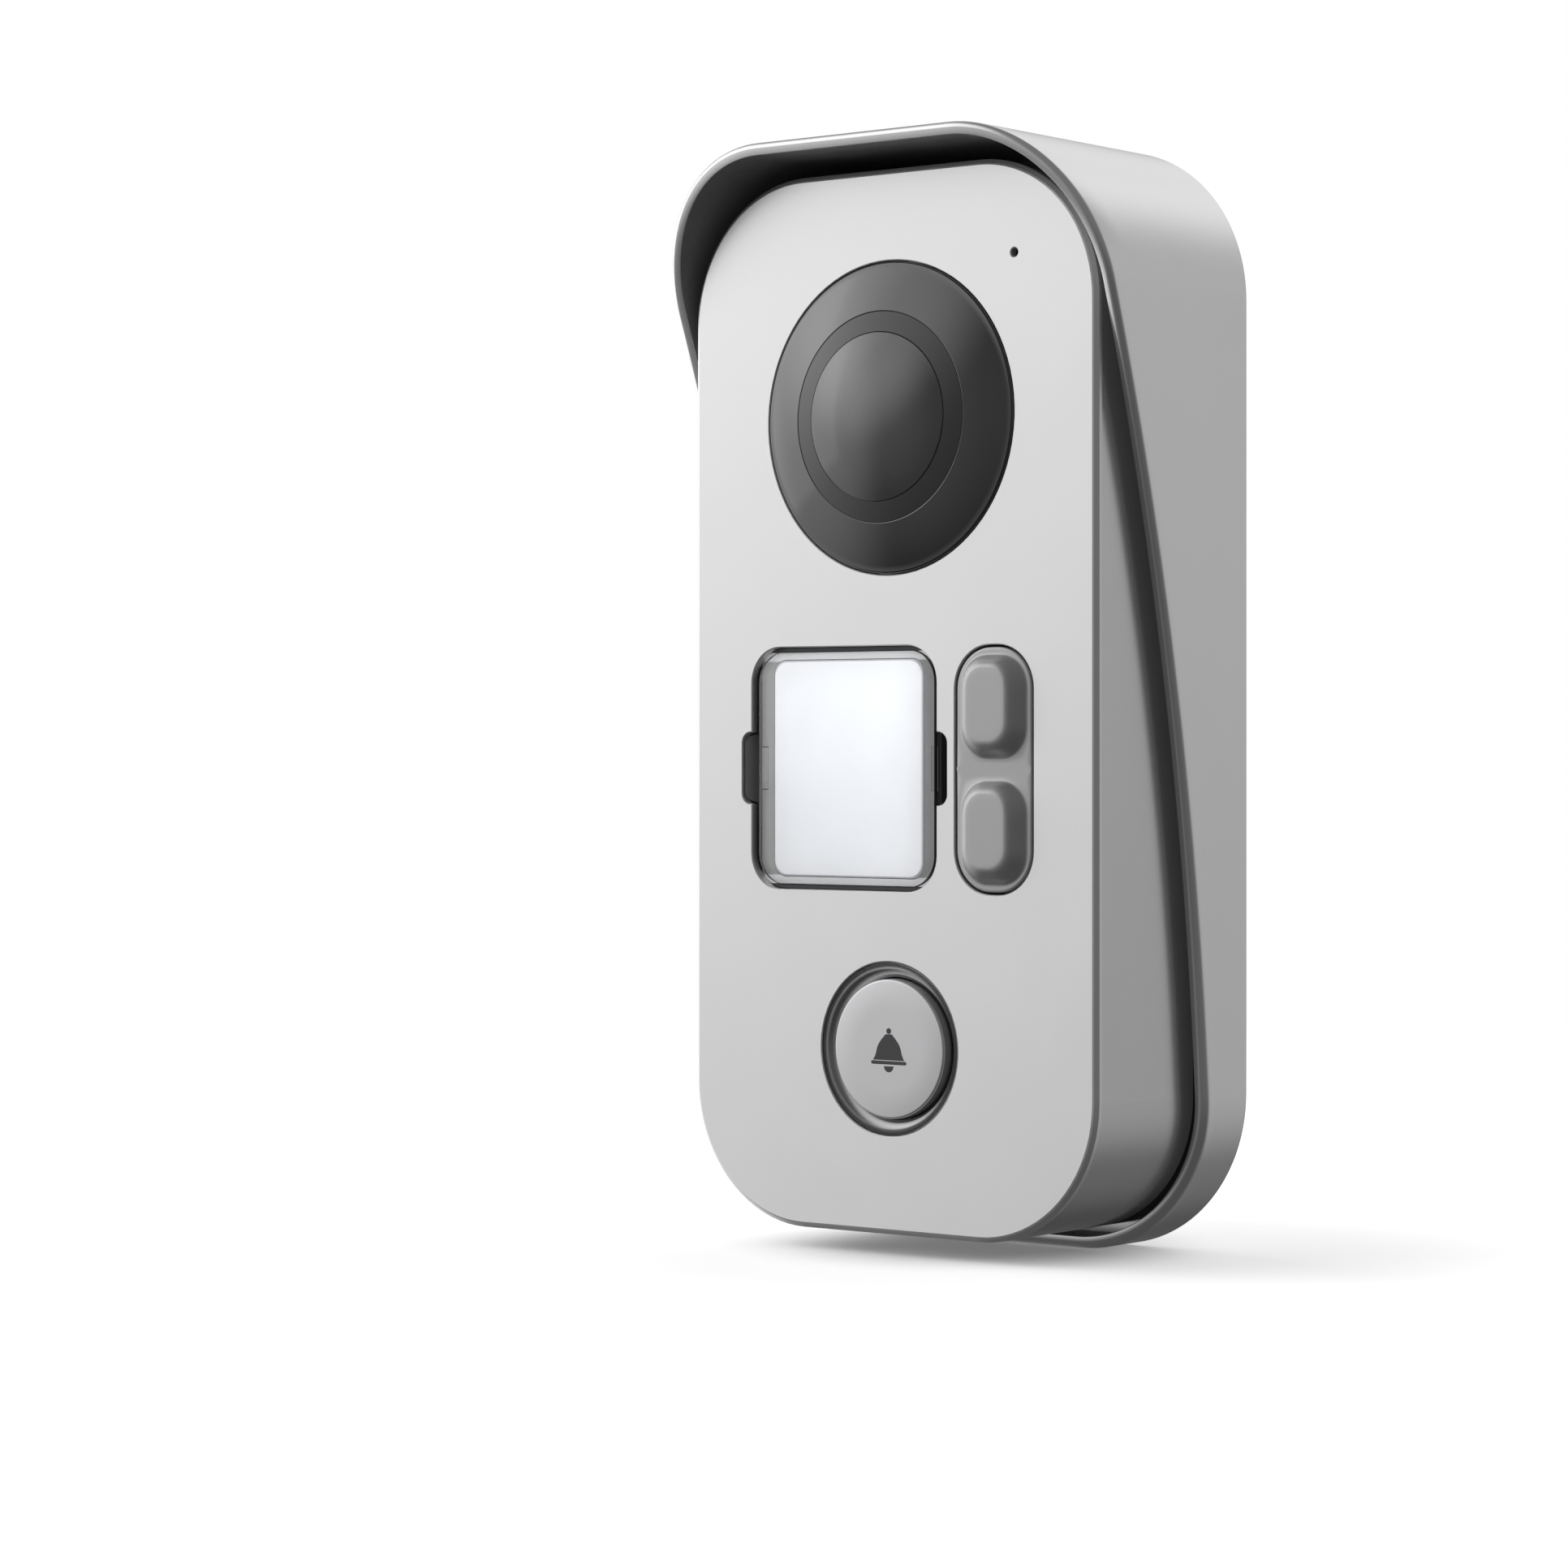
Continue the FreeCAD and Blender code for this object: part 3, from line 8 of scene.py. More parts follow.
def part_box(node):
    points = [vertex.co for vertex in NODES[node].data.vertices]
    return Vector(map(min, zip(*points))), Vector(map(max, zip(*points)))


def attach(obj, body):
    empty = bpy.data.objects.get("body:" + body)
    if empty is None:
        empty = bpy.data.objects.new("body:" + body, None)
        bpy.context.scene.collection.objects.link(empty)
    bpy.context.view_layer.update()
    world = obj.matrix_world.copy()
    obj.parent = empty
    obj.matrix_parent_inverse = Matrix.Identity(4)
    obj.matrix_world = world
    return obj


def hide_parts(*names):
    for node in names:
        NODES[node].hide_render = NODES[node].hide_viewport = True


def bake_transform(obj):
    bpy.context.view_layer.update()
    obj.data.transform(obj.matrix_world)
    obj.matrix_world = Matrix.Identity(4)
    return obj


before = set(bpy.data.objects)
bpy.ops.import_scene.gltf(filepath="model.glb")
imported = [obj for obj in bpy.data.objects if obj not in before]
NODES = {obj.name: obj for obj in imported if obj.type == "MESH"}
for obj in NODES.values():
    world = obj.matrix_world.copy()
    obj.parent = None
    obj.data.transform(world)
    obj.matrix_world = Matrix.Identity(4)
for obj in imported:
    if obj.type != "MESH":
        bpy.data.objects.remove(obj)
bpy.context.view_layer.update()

MM = 0.001
STATION = "station"
WHITE = (1, 1, 1, 1)


# ---------------------------------------------------------------- places read from the frame

def middle(node):
    """Middle of a CAD node's box."""
    low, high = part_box(node)
    return (low + high) / 2


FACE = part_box("facade_plate")[0].y          # plane of the front plate's face
WALL = 0.0                                  # plane of the wall
CAMERA_Z = middle("lens_cover").z
CALL_Z = middle("call_button").z
HOOD_LOW, HOOD_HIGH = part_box("rain_hood")


# ---------------------------------------------------------------- camera and studio

CAMERA_AT = (0.406812, -0.538590, -0.006385)
CAMERA_TURN = 40.2011
LENS_MM, SENSOR_MM = 104.81, 36.0
FRAME_SHIFT = -0.0238
CLIP_NEAR, CLIP_FAR = 0.01, 50
# Soft boxes: azimuth (0 in front, positive to the left), elevation, full and outer half-angles, brightness
SOFT_BOXES = [
    (45, 30, 1, 38, 1.05),
    (40, 0, 1, 38, 0.22),
    (68, 0, 1, 38, 0.70),
    (80, 32, 1, 38, 0.65),
    (106, -12, 1, 38, 1.05),
    (15, 0, 1, 38, 0.14),
    (168, 33, 1, 37, 0.82),
    (-150, 30, 1, 38, 0.20),
    (-140, 0, 1, 38, 0.27),
    (-150, -30, 1, 45, 0.12),
]
AMBIENT, GROUND = 0.18, 0.08                # brightness of the room above and below the horizon
HORIZON_LOW, HORIZON_HIGH = -0.5, 0.15      # ray heights between which it changes
LIGHT_AZIMUTH, LIGHT_ELEVATION, LIGHT_ROLL = 82, 18, 12
LIGHT_TARGET, LIGHT_DISTANCE = (0, -0.03, 0), 0.55
LIGHT_WIDTH, LIGHT_HEIGHT, LIGHT_BRIGHTNESS = 0.45, 0.55, 0.35
FLOOR_HALF, FLOOR_GAP, FLOOR_WHITE = 0.7, 0.1 * MM, 1.15
FLOOR_FADE = (0.30, 0.55)                   # distances between which the floor fades out
# The floor's own glow: least strength, the spot to measure from, then (inner radius, outer radius, rise)
FLOOR_GLOW, FLOOR_FOOT = 0.11, (0, -0.015, 0)
FLOOR_RISES = [(0.014, 0.038, 0.36), (0.045, 0.12, 0.25)]
NOISE_LOW, NOISE_HIGH = 0.3, 0.7            # usual range of a noise texture


def direction(azimuth, elevation):
    """Unit vector from the object towards a light."""
    a, e = math.radians(azimuth), math.radians(elevation)
    return Vector((-math.sin(a) * math.cos(e), -math.cos(a) * math.cos(e), math.sin(e)))


def place_camera():
    """Camera at the photo's place and angle."""
    data = bpy.data.cameras.new("camera")
    data.sensor_fit = "HORIZONTAL"
    data.sensor_width = SENSOR_MM
    data.lens = LENS_MM
    data.shift_y = FRAME_SHIFT
    data.clip_start = CLIP_NEAR
    data.clip_end = CLIP_FAR
    camera = bpy.data.objects.new("camera", data)
    camera.location = CAMERA_AT
    camera.rotation_euler = (math.radians(90), 0, math.radians(CAMERA_TURN))
    bpy.context.scene.collection.objects.link(camera)
    bpy.context.scene.camera = camera


class Nodes:
    """Short way to build a node tree."""

    def __init__(self, tree):
        self.tree = tree
        tree.nodes.clear()

    def add(self, kind, inputs=None, **settings):
        """Adds a node. Each input is a value or another node's socket."""
        node = self.tree.nodes.new(kind)
        for key, value in settings.items():
            setattr(node, key, value)
        for key, value in (inputs or {}).items():
            if isinstance(value, bpy.types.NodeSocket):
                self.tree.links.new(value, node.inputs[key])
            else:
                node.inputs[key].default_value = value
        return node

    def math(self, operation, a, b=0.0, clamp=False):
        return self.add("ShaderNodeMath", {0: a, 1: b}, operation=operation, use_clamp=clamp).outputs[0]

    def smooth(self, value, low, high, out_low=0.0, out_high=1.0):
        """Eases from one value to another while the input goes from low to high."""
        inputs = {0: value, 1: low, 2: high, 3: out_low, 4: out_high}
        return self.add("ShaderNodeMapRange", inputs, interpolation_type="SMOOTHSTEP").outputs[0]

    def xyz(self, place):
        return self.add("ShaderNodeSeparateXYZ", {0: place}).outputs

    def noise(self, place, scale, detail):
        inputs = {"Vector": place, "Scale": scale, "Detail": detail}
        return self.add("ShaderNodeTexNoise", inputs).outputs[0]

    def spread(self, noise, low, high):
        """Maps the usual range of a noise to another range."""
        inputs = {0: noise, 1: NOISE_LOW, 2: NOISE_HIGH, 3: low, 4: high}
        return self.add("ShaderNodeMapRange", inputs).outputs[0]

    def surface(self, shader):
        self.add("ShaderNodeOutputMaterial", {"Surface": shader.outputs[0]})


def new_material(name):
    """Empty material, its node builder, and the socket that gives the place on the object."""
    material = bpy.data.materials.new(name)
    material.use_nodes = True
    n = Nodes(material.node_tree)
    return material, n, n.add("ShaderNodeTexCoord").outputs["Object"]


def build_world():
    """White behind the object; for lighting, soft boxes on a dim room that darkens towards the ground."""
    world = bpy.data.worlds.new("studio")
    bpy.context.scene.world = world
    world.use_nodes = True
    n = Nodes(world.node_tree)
    ray = n.add("ShaderNodeTexCoord").outputs["Generated"]
    total = n.smooth(n.xyz(ray)["Z"], HORIZON_LOW, HORIZON_HIGH, GROUND, AMBIENT)
    for azimuth, elevation, full, outer, strength in SOFT_BOXES:
        towards = {0: ray, 1: direction(azimuth, elevation)}
        aligned = n.add("ShaderNodeVectorMath", towards, operation="DOT_PRODUCT").outputs["Value"]
        edge, core = math.cos(math.radians(outer)), math.cos(math.radians(full))
        total = n.math("ADD", total, n.smooth(aligned, edge, core, 0.0, strength))
    room = n.add("ShaderNodeBackground", {"Color": WHITE, "Strength": total})
    seen = n.add("ShaderNodeBackground", {"Color": WHITE, "Strength": 1.0})
    by_camera = n.add("ShaderNodeLightPath").outputs["Is Camera Ray"]
    mix = n.add("ShaderNodeMixShader", {0: by_camera, 1: room.outputs[0], 2: seen.outputs[0]})
    n.add("ShaderNodeOutputWorld", {"Surface": mix.outputs[0]})


def build_light():
    """Large soft light at the left."""
    away = direction(LIGHT_AZIMUTH, LIGHT_ELEVATION)
    data = bpy.data.lights.new("left_box", "AREA")
    data.shape = "RECTANGLE"
    data.size = LIGHT_WIDTH
    data.size_y = LIGHT_HEIGHT
    data.energy = LIGHT_BRIGHTNESS * math.pi * LIGHT_WIDTH * LIGHT_HEIGHT
    light = bpy.data.objects.new("left_box", data)
    light.location = Vector(LIGHT_TARGET) + away * LIGHT_DISTANCE
    aim = (-away).to_track_quat("-Z", "Y").to_matrix()
    light.rotation_euler = (aim @ Matrix.Rotation(math.radians(LIGHT_ROLL), 3, "Z")).to_euler()
    bpy.context.scene.collection.objects.link(light)


def build_floor():
    """White floor that fades into the white behind it. Its glow keeps the object's shadow short."""
    bm = bmesh.new()
    bmesh.ops.create_grid(bm, x_segments=2, y_segments=2, size=FLOOR_HALF)
    mesh = bpy.data.meshes.new("floor")
    bm.to_mesh(mesh)
    bm.free()
    floor = bpy.data.objects.new("floor", mesh)
    floor.location = (0, 0, HOOD_LOW.z - FLOOR_GAP)
    bpy.context.scene.collection.objects.link(floor)
    material, n, place = new_material("floor")
    radius = n.add("ShaderNodeVectorMath", {0: place}, operation="LENGTH").outputs["Value"]
    white = n.add("ShaderNodeBsdfDiffuse", {"Color": (FLOOR_WHITE, FLOOR_WHITE, FLOOR_WHITE, 1)})
    foot = {0: place, 1: FLOOR_FOOT}
    from_foot = n.add("ShaderNodeVectorMath", foot, operation="DISTANCE").outputs["Value"]
    strength = FLOOR_GLOW
    for inner, outer, rise in FLOOR_RISES:
        strength = n.math("ADD", strength, n.smooth(from_foot, inner, outer, 0.0, rise))
    own_light = n.add("ShaderNodeEmission", {"Color": WHITE, "Strength": strength})
    lit = n.add("ShaderNodeAddShader", {0: white.outputs[0], 1: own_light.outputs[0]})
    clear = n.add("ShaderNodeBsdfTransparent")
    fade = n.smooth(radius, *FLOOR_FADE)
    n.surface(n.add("ShaderNodeMixShader", {0: fade, 1: lit.outputs[0], 2: clear.outputs[0]}))
    floor.data.materials.append(material)
    floor.visible_diffuse = False
    floor.visible_glossy = False


# ---------------------------------------------------------------- materials

CLOUD_SIZE = 12.0                           # mm, size of the slow drifts in colour and roughness
FINE_DETAIL, BROAD_DETAIL, CLEAR_DETAIL = 3.0, 4.0, 2.0
CLEAR_SCALE, CLEAR_LEAST = 200.0, 0.98
SMEAR_SCALE, SMEAR_LOW, SMEAR_HIGH = 120.0, 0.8, 1.25
TRAY_FACE, TRAY_SKIN = 1.35 * MM, 0.1 * MM  # depth of the tray's face, and of its skin
WELL_HALF_W, RIM_HALF_W, RIM_HALF_H = 15.0 * MM, 16.2 * MM, 16.7 * MM
SCOOP_FOOT = 17.2 * MM
SIDES_TO, ENDS_FROM = 15.3 * MM, 15.6 * MM  # heights between which the tray's sides change to its ends
# Greys of the tray's shaded sides and lit ends, which are painted light and shade, and the share kept where
# painted shade is near black
TRAY_SHADED_SIDES, TRAY_LIT_ENDS, TRAY_PAINTED_SHADE = 0.36, 0.95, 0.05
# Strength of the painted glow on the tray's face, as a share of its grey
TRAY_PAINTED_GLOW = 0.24
# Painted glow of the label: its least strength, and how much it rises towards the top and the right
LABEL_PAINTED_GLOW, LABEL_RISE = 0.37, 0.10
GAP_FROM, GAP_TO, GAP_GLOW = 20 * MM, 34 * MM, 0.03


def grained(name, colour, rough, metallic, grain, grain_size, mottle, rough_spread, **more):
    """Satin or matt surface: fine grain in the bump, and slow drifts in colour and roughness.

    The grain's depth and size are in mm. The colour, and any further shader input, may be a function that
    builds a socket from (nodes, place).
    """
    material, n, place = new_material(name)
    fine = n.noise(place, 1 / (grain_size * MM), FINE_DETAIL)
    broad = n.noise(place, 1 / (CLOUD_SIZE * MM), BROAD_DETAIL)
    drift = n.spread(broad, 1 - mottle, 1 + mottle)
    speck = n.spread(fine, 1 - mottle / 2, 1 + mottle / 2)
    base = colour(n, place) if callable(colour) else colour
    more = {key: value(n, place) if callable(value) else value for key, value in more.items()}
    shade = {0: base, "Scale": n.math("MULTIPLY", drift, speck)}
    tint = n.add("ShaderNodeVectorMath", shade, operation="SCALE").outputs[0]
    wander = n.math("MULTIPLY", n.math("SUBTRACT", broad, 0.5), 2 * rough_spread)
    roughness = n.math("ADD", wander, rough, True)
    bump = n.add("ShaderNodeBump", {"Strength": 1.0, "Distance": grain * MM, "Height": fine}).outputs[0]
    inputs = {"Base Color": tint, "Roughness": roughness, "Metallic": metallic, "Normal": bump, **more}
    n.surface(n.add("ShaderNodeBsdfPrincipled", inputs))
    return material


def glow(strength, colour=WHITE):
    """Shader inputs for a surface that gives a little light of its own."""
    return {"Emission Color": colour, "Emission Strength": strength}


def tray_grey_and_shade(n, place):
    """Grey on the tray's face, with painted light and shade: darker at its sides, paler above and below the
    label.
    Painted shade, nearly black, in the well, outside the rim and at the right scoop."""
    low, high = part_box("nameplate_tray")
    at = n.xyz(place)
    rightwards = n.math("SUBTRACT", at["X"], (low.x + high.x) / 2)
    across = n.math("ABSOLUTE", rightwards)
    up = n.math("ABSOLUTE", n.math("SUBTRACT", at["Z"], (low.z + high.z) / 2))
    # Painted light and shade: the sides darker, the ends above and below the label paler
    grey = n.smooth(up, SIDES_TO, ENDS_FROM, TRAY_SHADED_SIDES, TRAY_LIT_ENDS)
    # Painted shade: near black in the well, in the gaps outside the rim and on the right scoop
    deep = n.math("GREATER_THAN", at["Y"], FACE + TRAY_FACE + TRAY_SKIN)
    well = n.math("MULTIPLY", deep, n.math("LESS_THAN", across, WELL_HALF_W))
    past_rim = n.math("GREATER_THAN", across, RIM_HALF_W)
    beside = n.math("MULTIPLY", past_rim, n.math("LESS_THAN", across, SCOOP_FOOT))
    outside = n.math("MAXIMUM", n.math("GREATER_THAN", up, RIM_HALF_H), beside)
    right_scoop_shade = n.math("GREATER_THAN", rightwards, SCOOP_FOOT)
    dark = n.math("MAXIMUM", n.math("MAXIMUM", well, outside), right_scoop_shade)
    shade = n.math("MULTIPLY", grey, n.smooth(dark, 0, 1, 1.0, TRAY_PAINTED_SHADE))
    return n.add("ShaderNodeCombineXYZ", {0: shade, 1: shade, 2: shade}).outputs[0]


def tray_painted_glow(n, place):
    """Painted light: a glow on the tray's face that lifts it out of the shade of the pocket walls."""
    low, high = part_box("nameplate_tray")
    across = n.math("ABSOLUTE", n.math("SUBTRACT", n.xyz(place)["X"], (low.x + high.x) / 2))
    painted_glow = n.math("MULTIPLY", n.math("LESS_THAN", across, SCOOP_FOOT), TRAY_PAINTED_GLOW)
    return n.math("MULTIPLY", n.xyz(tray_grey_and_shade(n, place))["X"], painted_glow)


def label_painted_glow(n, place):
    """Painted light: a glow behind the label that makes it bright white, strongest at the top right."""
    low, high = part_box("name_label")
    at = n.xyz(place)
    up = n.smooth(at["Z"], low.z, high.z, 0.0, LABEL_RISE)
    across = n.smooth(at["X"], low.x, high.x, 0.0, LABEL_RISE)
    return n.math("ADD", n.math("ADD", up, across), LABEL_PAINTED_GLOW)


def gap_glow(n, place):
    """Bounced light in the narrow gap between the hood's right wall and the housing."""
    return n.smooth(n.xyz(place)["X"], GAP_FROM, GAP_TO, 0.0, GAP_GLOW)


def plain_clear(name):
    """Inner faces of a clear part, which add no second reflection."""
    material, n, place = new_material(name)
    grey = n.spread(n.noise(place, CLEAR_SCALE, CLEAR_DETAIL), CLEAR_LEAST, 1.0)
    n.surface(n.add("ShaderNodeBsdfTransparent", {"Color": grey}))
    return material


def coated_glass(name, tint, mirror, rough):
    """Clear or smoked sheet: a thin coat of reflection over a tinted see-through body."""
    material, n, place = new_material(name)
    smear = n.spread(n.noise(place, SMEAR_SCALE, FINE_DETAIL), rough * SMEAR_LOW, rough * SMEAR_HIGH)
    through = n.add("ShaderNodeBsdfTransparent", {"Color": (*tint, 1)})
    shine = n.add("ShaderNodeBsdfGlossy", {"Color": WHITE, "Roughness": smear})
    facing = n.add("ShaderNodeFresnel", {"IOR": mirror}).outputs[0]
    n.surface(n.add("ShaderNodeMixShader", {0: facing, 1: through.outputs[0], 2: shine.outputs[0]}))
    return material


def build_materials():
    """Every finish on the object, by name.

    Each row of grained() gives name, colour, roughness, metallic, grain depth, grain size, mottle and
    spread of roughness. Each row of coated_glass() gives name, tint, mirror index and roughness.
    """
    return {
        "plate": grained("plate_silver", (0.80, 0.80, 0.80), 0.36, 0.75, 0.0015, 0.12, 0.012, 0.02),
        "housing": grained("housing_silver", (0.62, 0.62, 0.62), 0.22, 0.85, 0.001, 0.12, 0.012, 0.02),
        "hood": grained("hood_silver", (0.78, 0.78, 0.78), 0.24, 0.8, 0.0015, 0.12, 0.012, 0.02),
        "hood_inside": grained("hood_inside", (0.26, 0.26, 0.263), 0.40, 0.0, 0.004, 0.2, 0.1, 0.05,
                               **glow(gap_glow)),
        "dome": grained("smoked_dome", (0.012, 0.012, 0.013), 0.12, 0.0, 0.0, 0.5, 0.05, 0.02, IOR=1.9),
        "ring": grained("black_ring", (0.008, 0.008, 0.009), 0.26, 0.0, 0.0005, 0.3, 0.05, 0.03, IOR=1.65),
        "lens": coated_glass("lens_glass", (0.16, 0.16, 0.165), 1.95, 0.14),
        "inner": plain_clear("clear_inner"),
        "optic": grained("optical_glass", (0.06, 0.06, 0.064), 0.25, 0.0, 0.0, 0.5, 0.05, 0.02, IOR=1.8),
        "barrel": grained("barrel_black", (0.32, 0.32, 0.323), 0.45, 0.0, 0.002, 0.3, 0.08, 0.05),
        "black": grained("black_plastic", (0.022, 0.022, 0.023), 0.5, 0.0, 0.01, 0.25, 0.08, 0.05),
        # The tray's colour carries painted light and shade, and its glow is painted light
        "tray": grained("tray_plastic", tray_grey_and_shade, 0.45, 0.0, 0.004, 0.25, 0.03, 0.04, **glow(tray_painted_glow)),
        "clear": coated_glass("clear_cover", (0.97, 0.975, 0.98), 1.49, 0.04),
        # Painted shade: the clear cover's edge is nearly black, for the shade in the gap round the cover
        "cover_edge_shade": grained("cover_edge_shade", (0.05, 0.05, 0.052), 0.25, 0.0, 0.002, 0.25, 0.05, 0.04),
        # The legs take the tray's shaded side grey and its painted glow, so they merge into the tray's face
        "leg": grained("cover_leg", (0.36, 0.36, 0.362), 0.45, 0.0, 0.004, 0.25, 0.03, 0.04,
                       **glow(TRAY_SHADED_SIDES * TRAY_PAINTED_GLOW)),
        "opal": grained("light_guide", (0.85, 0.86, 0.88), 0.4, 0.0, 0.002, 0.3, 0.02, 0.05),
        # The label's glow is painted light
        "label": grained("label_paper", (0.90, 0.92, 0.95), 0.7, 0.0, 0.004, 0.12, 0.01, 0.05,
                         **glow(label_painted_glow, (0.98, 0.985, 1.0, 1))),
        "silicone": grained("grey_silicone", (0.46, 0.46, 0.46), 0.42, 0.65, 0.003, 0.15, 0.02, 0.04),
        "cap": grained("button_silver", (0.62, 0.62, 0.63), 0.34, 0.75, 0.0015, 0.12, 0.012, 0.02),
        "trim": grained("dark_trim", (0.37, 0.37, 0.373), 0.26, 1.0, 0.0005, 0.3, 0.05, 0.03),
        "sign": grained("sign_ink", (0.06, 0.06, 0.065), 0.5, 0.0, 0.002, 0.1, 0.05, 0.05),
        "rubber": grained("seal_rubber", (0.02, 0.02, 0.02), 0.7, 0.0, 0.01, 0.3, 0.1, 0.05),
        "board": grained("board_green", (0.02, 0.11, 0.05), 0.32, 0.0, 0.01, 0.6, 0.15, 0.08),
        "epoxy": grained("component_black", (0.02, 0.02, 0.021), 0.45, 0.0, 0.01, 0.2, 0.1, 0.05),
        "can": grained("component_grey", (0.6, 0.6, 0.62), 0.3, 1.0, 0.002, 0.2, 0.03, 0.05),
        "relay": grained("relay_case", (0.03, 0.08, 0.25), 0.35, 0.0, 0.004, 0.25, 0.05, 0.05),
        "terminal": grained("terminal_green", (0.03, 0.28, 0.12), 0.4, 0.0, 0.005, 0.25, 0.04, 0.05),
        "steel": grained("screw_steel", (0.55, 0.55, 0.57), 0.28, 1.0, 0.004, 0.15, 0.06, 0.08),
        "brass": grained("brass", (0.66, 0.50, 0.22), 0.3, 1.0, 0.004, 0.2, 0.06, 0.08),
        "copper": grained("copper_coil", (0.62, 0.27, 0.13), 0.3, 1.0, 0.03, 0.2, 0.1, 0.05),
        "ribbon": grained("ribbon_orange", (0.45, 0.19, 0.03), 0.25, 0.0, 0.002, 0.4, 0.05, 0.05),
        "jacket": grained("lead_black", (0.03, 0.03, 0.03), 0.5, 0.0, 0.004, 0.2, 0.08, 0.05),
        "led": grained("led_clear", (0.55, 0.57, 0.62), 0.12, 0.0, 0.0, 0.4, 0.03, 0.03),
        "mesh": grained("mesh_black", (0.03, 0.03, 0.03), 0.45, 0.6, 0.05, 0.35, 0.1, 0.05),
        "magnet": grained("magnet_steel", (0.5, 0.5, 0.52), 0.25, 1.0, 0.002, 0.2, 0.04, 0.05),
        "cone": grained("cone_paper", (0.035, 0.035, 0.036), 0.75, 0.0, 0.02, 0.3, 0.12, 0.05),
    }


# Finish of each CAD node that keeps its shape
CAD_FINISH = {
    "plate": ["facade_plate"],
    "housing": ["front_housing"],
    "black": ["rear_cover", "lens_holder", "speaker_frame"],
    "rubber": ["housing_seal", "window_seal", "light_baffle", "mic_boot"],
    "tray": ["nameplate_tray"],
    "opal": ["label_light_guide", "board_connectors"],
    "label": ["name_label"],
    "board": ["ir_led_board", "camera_board", "main_board"],
    "epoxy": ["light_sensor", "image_sensor", "tact_switches", "board_chips"],
    "can": ["capacitors", "upper_plunger", "lower_plunger", "call_plunger"],
    "relay": ["relay"],
    "terminal": ["terminal_block"],
    "steel": ["lock_screw", "cover_screws", "ir_board_spacers", "camera_board_screws", "board_screws",
              "terminal_screws", "call_clip"],
    "brass": ["lock_insert"],
    "copper": ["rfid_antenna"],
    "ribbon": ["camera_ribbon"],
    "jacket": ["mic_lead", "speaker_lead"],
    "led": ["ir_leds", "backlight_leds"],
    "mesh": ["speaker_mesh", "microphone"],
    "magnet": ["speaker_magnet"],
    "cone": ["speaker_cone"],
    "optic": ["lens_rear_element"],
}


def finish_cad_nodes(finishes):
    for finish, names in CAD_FINISH.items():
        for name in names:
            node = NODES[name]
            if not node.material_slots:
                node.data.materials.append(finishes[finish])
            for slot in node.material_slots:
                slot.material = finishes[finish]


# ---------------------------------------------------------------- mesh helpers

TINY = 1e-7                                 # a shorter length counts as none
WELD = 1e-6
FLAT_FACING = 0.999                         # share of the normal along the depth, for a face that is flat


def new_piece(name, bm, materials, body, sharp=35):
    """Object from a bmesh, smooth except where faces meet at more than the given angle."""
    bmesh.ops.recalc_face_normals(bm, faces=bm.faces)
    mesh = bpy.data.meshes.new(name)
    bm.to_mesh(mesh)
    bm.free()
    mesh.shade_smooth()
    mesh.set_sharp_from_angle(angle=math.radians(sharp))
    for material in materials:
        mesh.materials.append(material)
    piece = bpy.data.objects.new(name, mesh)
    bpy.context.scene.collection.objects.link(piece)
    if body:
        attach(piece, body)
    return piece


def quarter(steps):
    """Angles from 0 to a quarter turn."""
    return [math.pi / 2 * k / steps for k in range(steps + 1)]


def bridge(bm, here, there, material_index=0):
    """Faces between two closed loops of the same number of points."""
    for i in range(len(here)):
        j = (i + 1) % len(here)
        bm.faces.new((here[i], here[j], there[j], there[i])).material_index = material_index


def lathe(name, z, profile, material, body, segments, sharp, inner=None):
    """Solid turned about the depth axis through (0, z). The profile lists (radius, y) once round.

    inner, if given, is (index, material): the faces from that profile point on take that material.
    """
    bm = bmesh.new()
    rings = []
    for radius, y in profile:
        if radius < TINY:
            rings.append([bm.verts.new((0, y, z))])
            continue
        ring = []
        for i in range(segments):
            a = 2 * math.pi * i / segments
            ring.append(bm.verts.new((radius * math.cos(a), y, z + radius * math.sin(a))))
        rings.append(ring)
    for k, (here, there) in enumerate(zip(rings, rings[1:] + rings[:1])):
        for i in range(segments):
            j = (i + 1) % segments
            corners = [ring[m % len(ring)] for ring, m in ((here, i), (here, j), (there, j), (there, i))]
            unique = list(dict.fromkeys(corners))
            if len(unique) > 2:
                bm.faces.new(unique).material_index = 1 if inner and k >= inner[0] else 0
    return new_piece(name, bm, [material] + ([inner[1]] if inner else []), body, sharp)


def circle_through(a, b, c):
    """Centre and radius of the circle through three points."""
    d = 2 * (a[0] * (b[1] - c[1]) + b[0] * (c[1] - a[1]) + c[0] * (a[1] - b[1]))
    squares = [p[0] ** 2 + p[1] ** 2 for p in (a, b, c)]
    x = (squares[0] * (b[1] - c[1]) + squares[1] * (c[1] - a[1]) + squares[2] * (a[1] - b[1])) / d
    y = (squares[0] * (c[0] - b[0]) + squares[1] * (a[0] - c[0]) + squares[2] * (b[0] - a[0])) / d
    return x, y, math.hypot(a[0] - x, a[1] - y)


def arc_points(start, via, end, steps):
    """Points along the arc from start through via to end."""
    x, y, radius = circle_through(start, via, end)
    turns = [math.atan2(p[1] - y, p[0] - x) for p in (start, via, end)]
    for k in (1, 2):
        while turns[k] - turns[k - 1] > math.pi:
            turns[k] -= 2 * math.pi
        while turns[k] - turns[k - 1] < -math.pi:
            turns[k] += 2 * math.pi
    angles = [turns[0] + (turns[2] - turns[0]) * k / steps for k in range(steps + 1)]
    return [(x + radius * math.cos(a), y + radius * math.sin(a)) for a in angles]


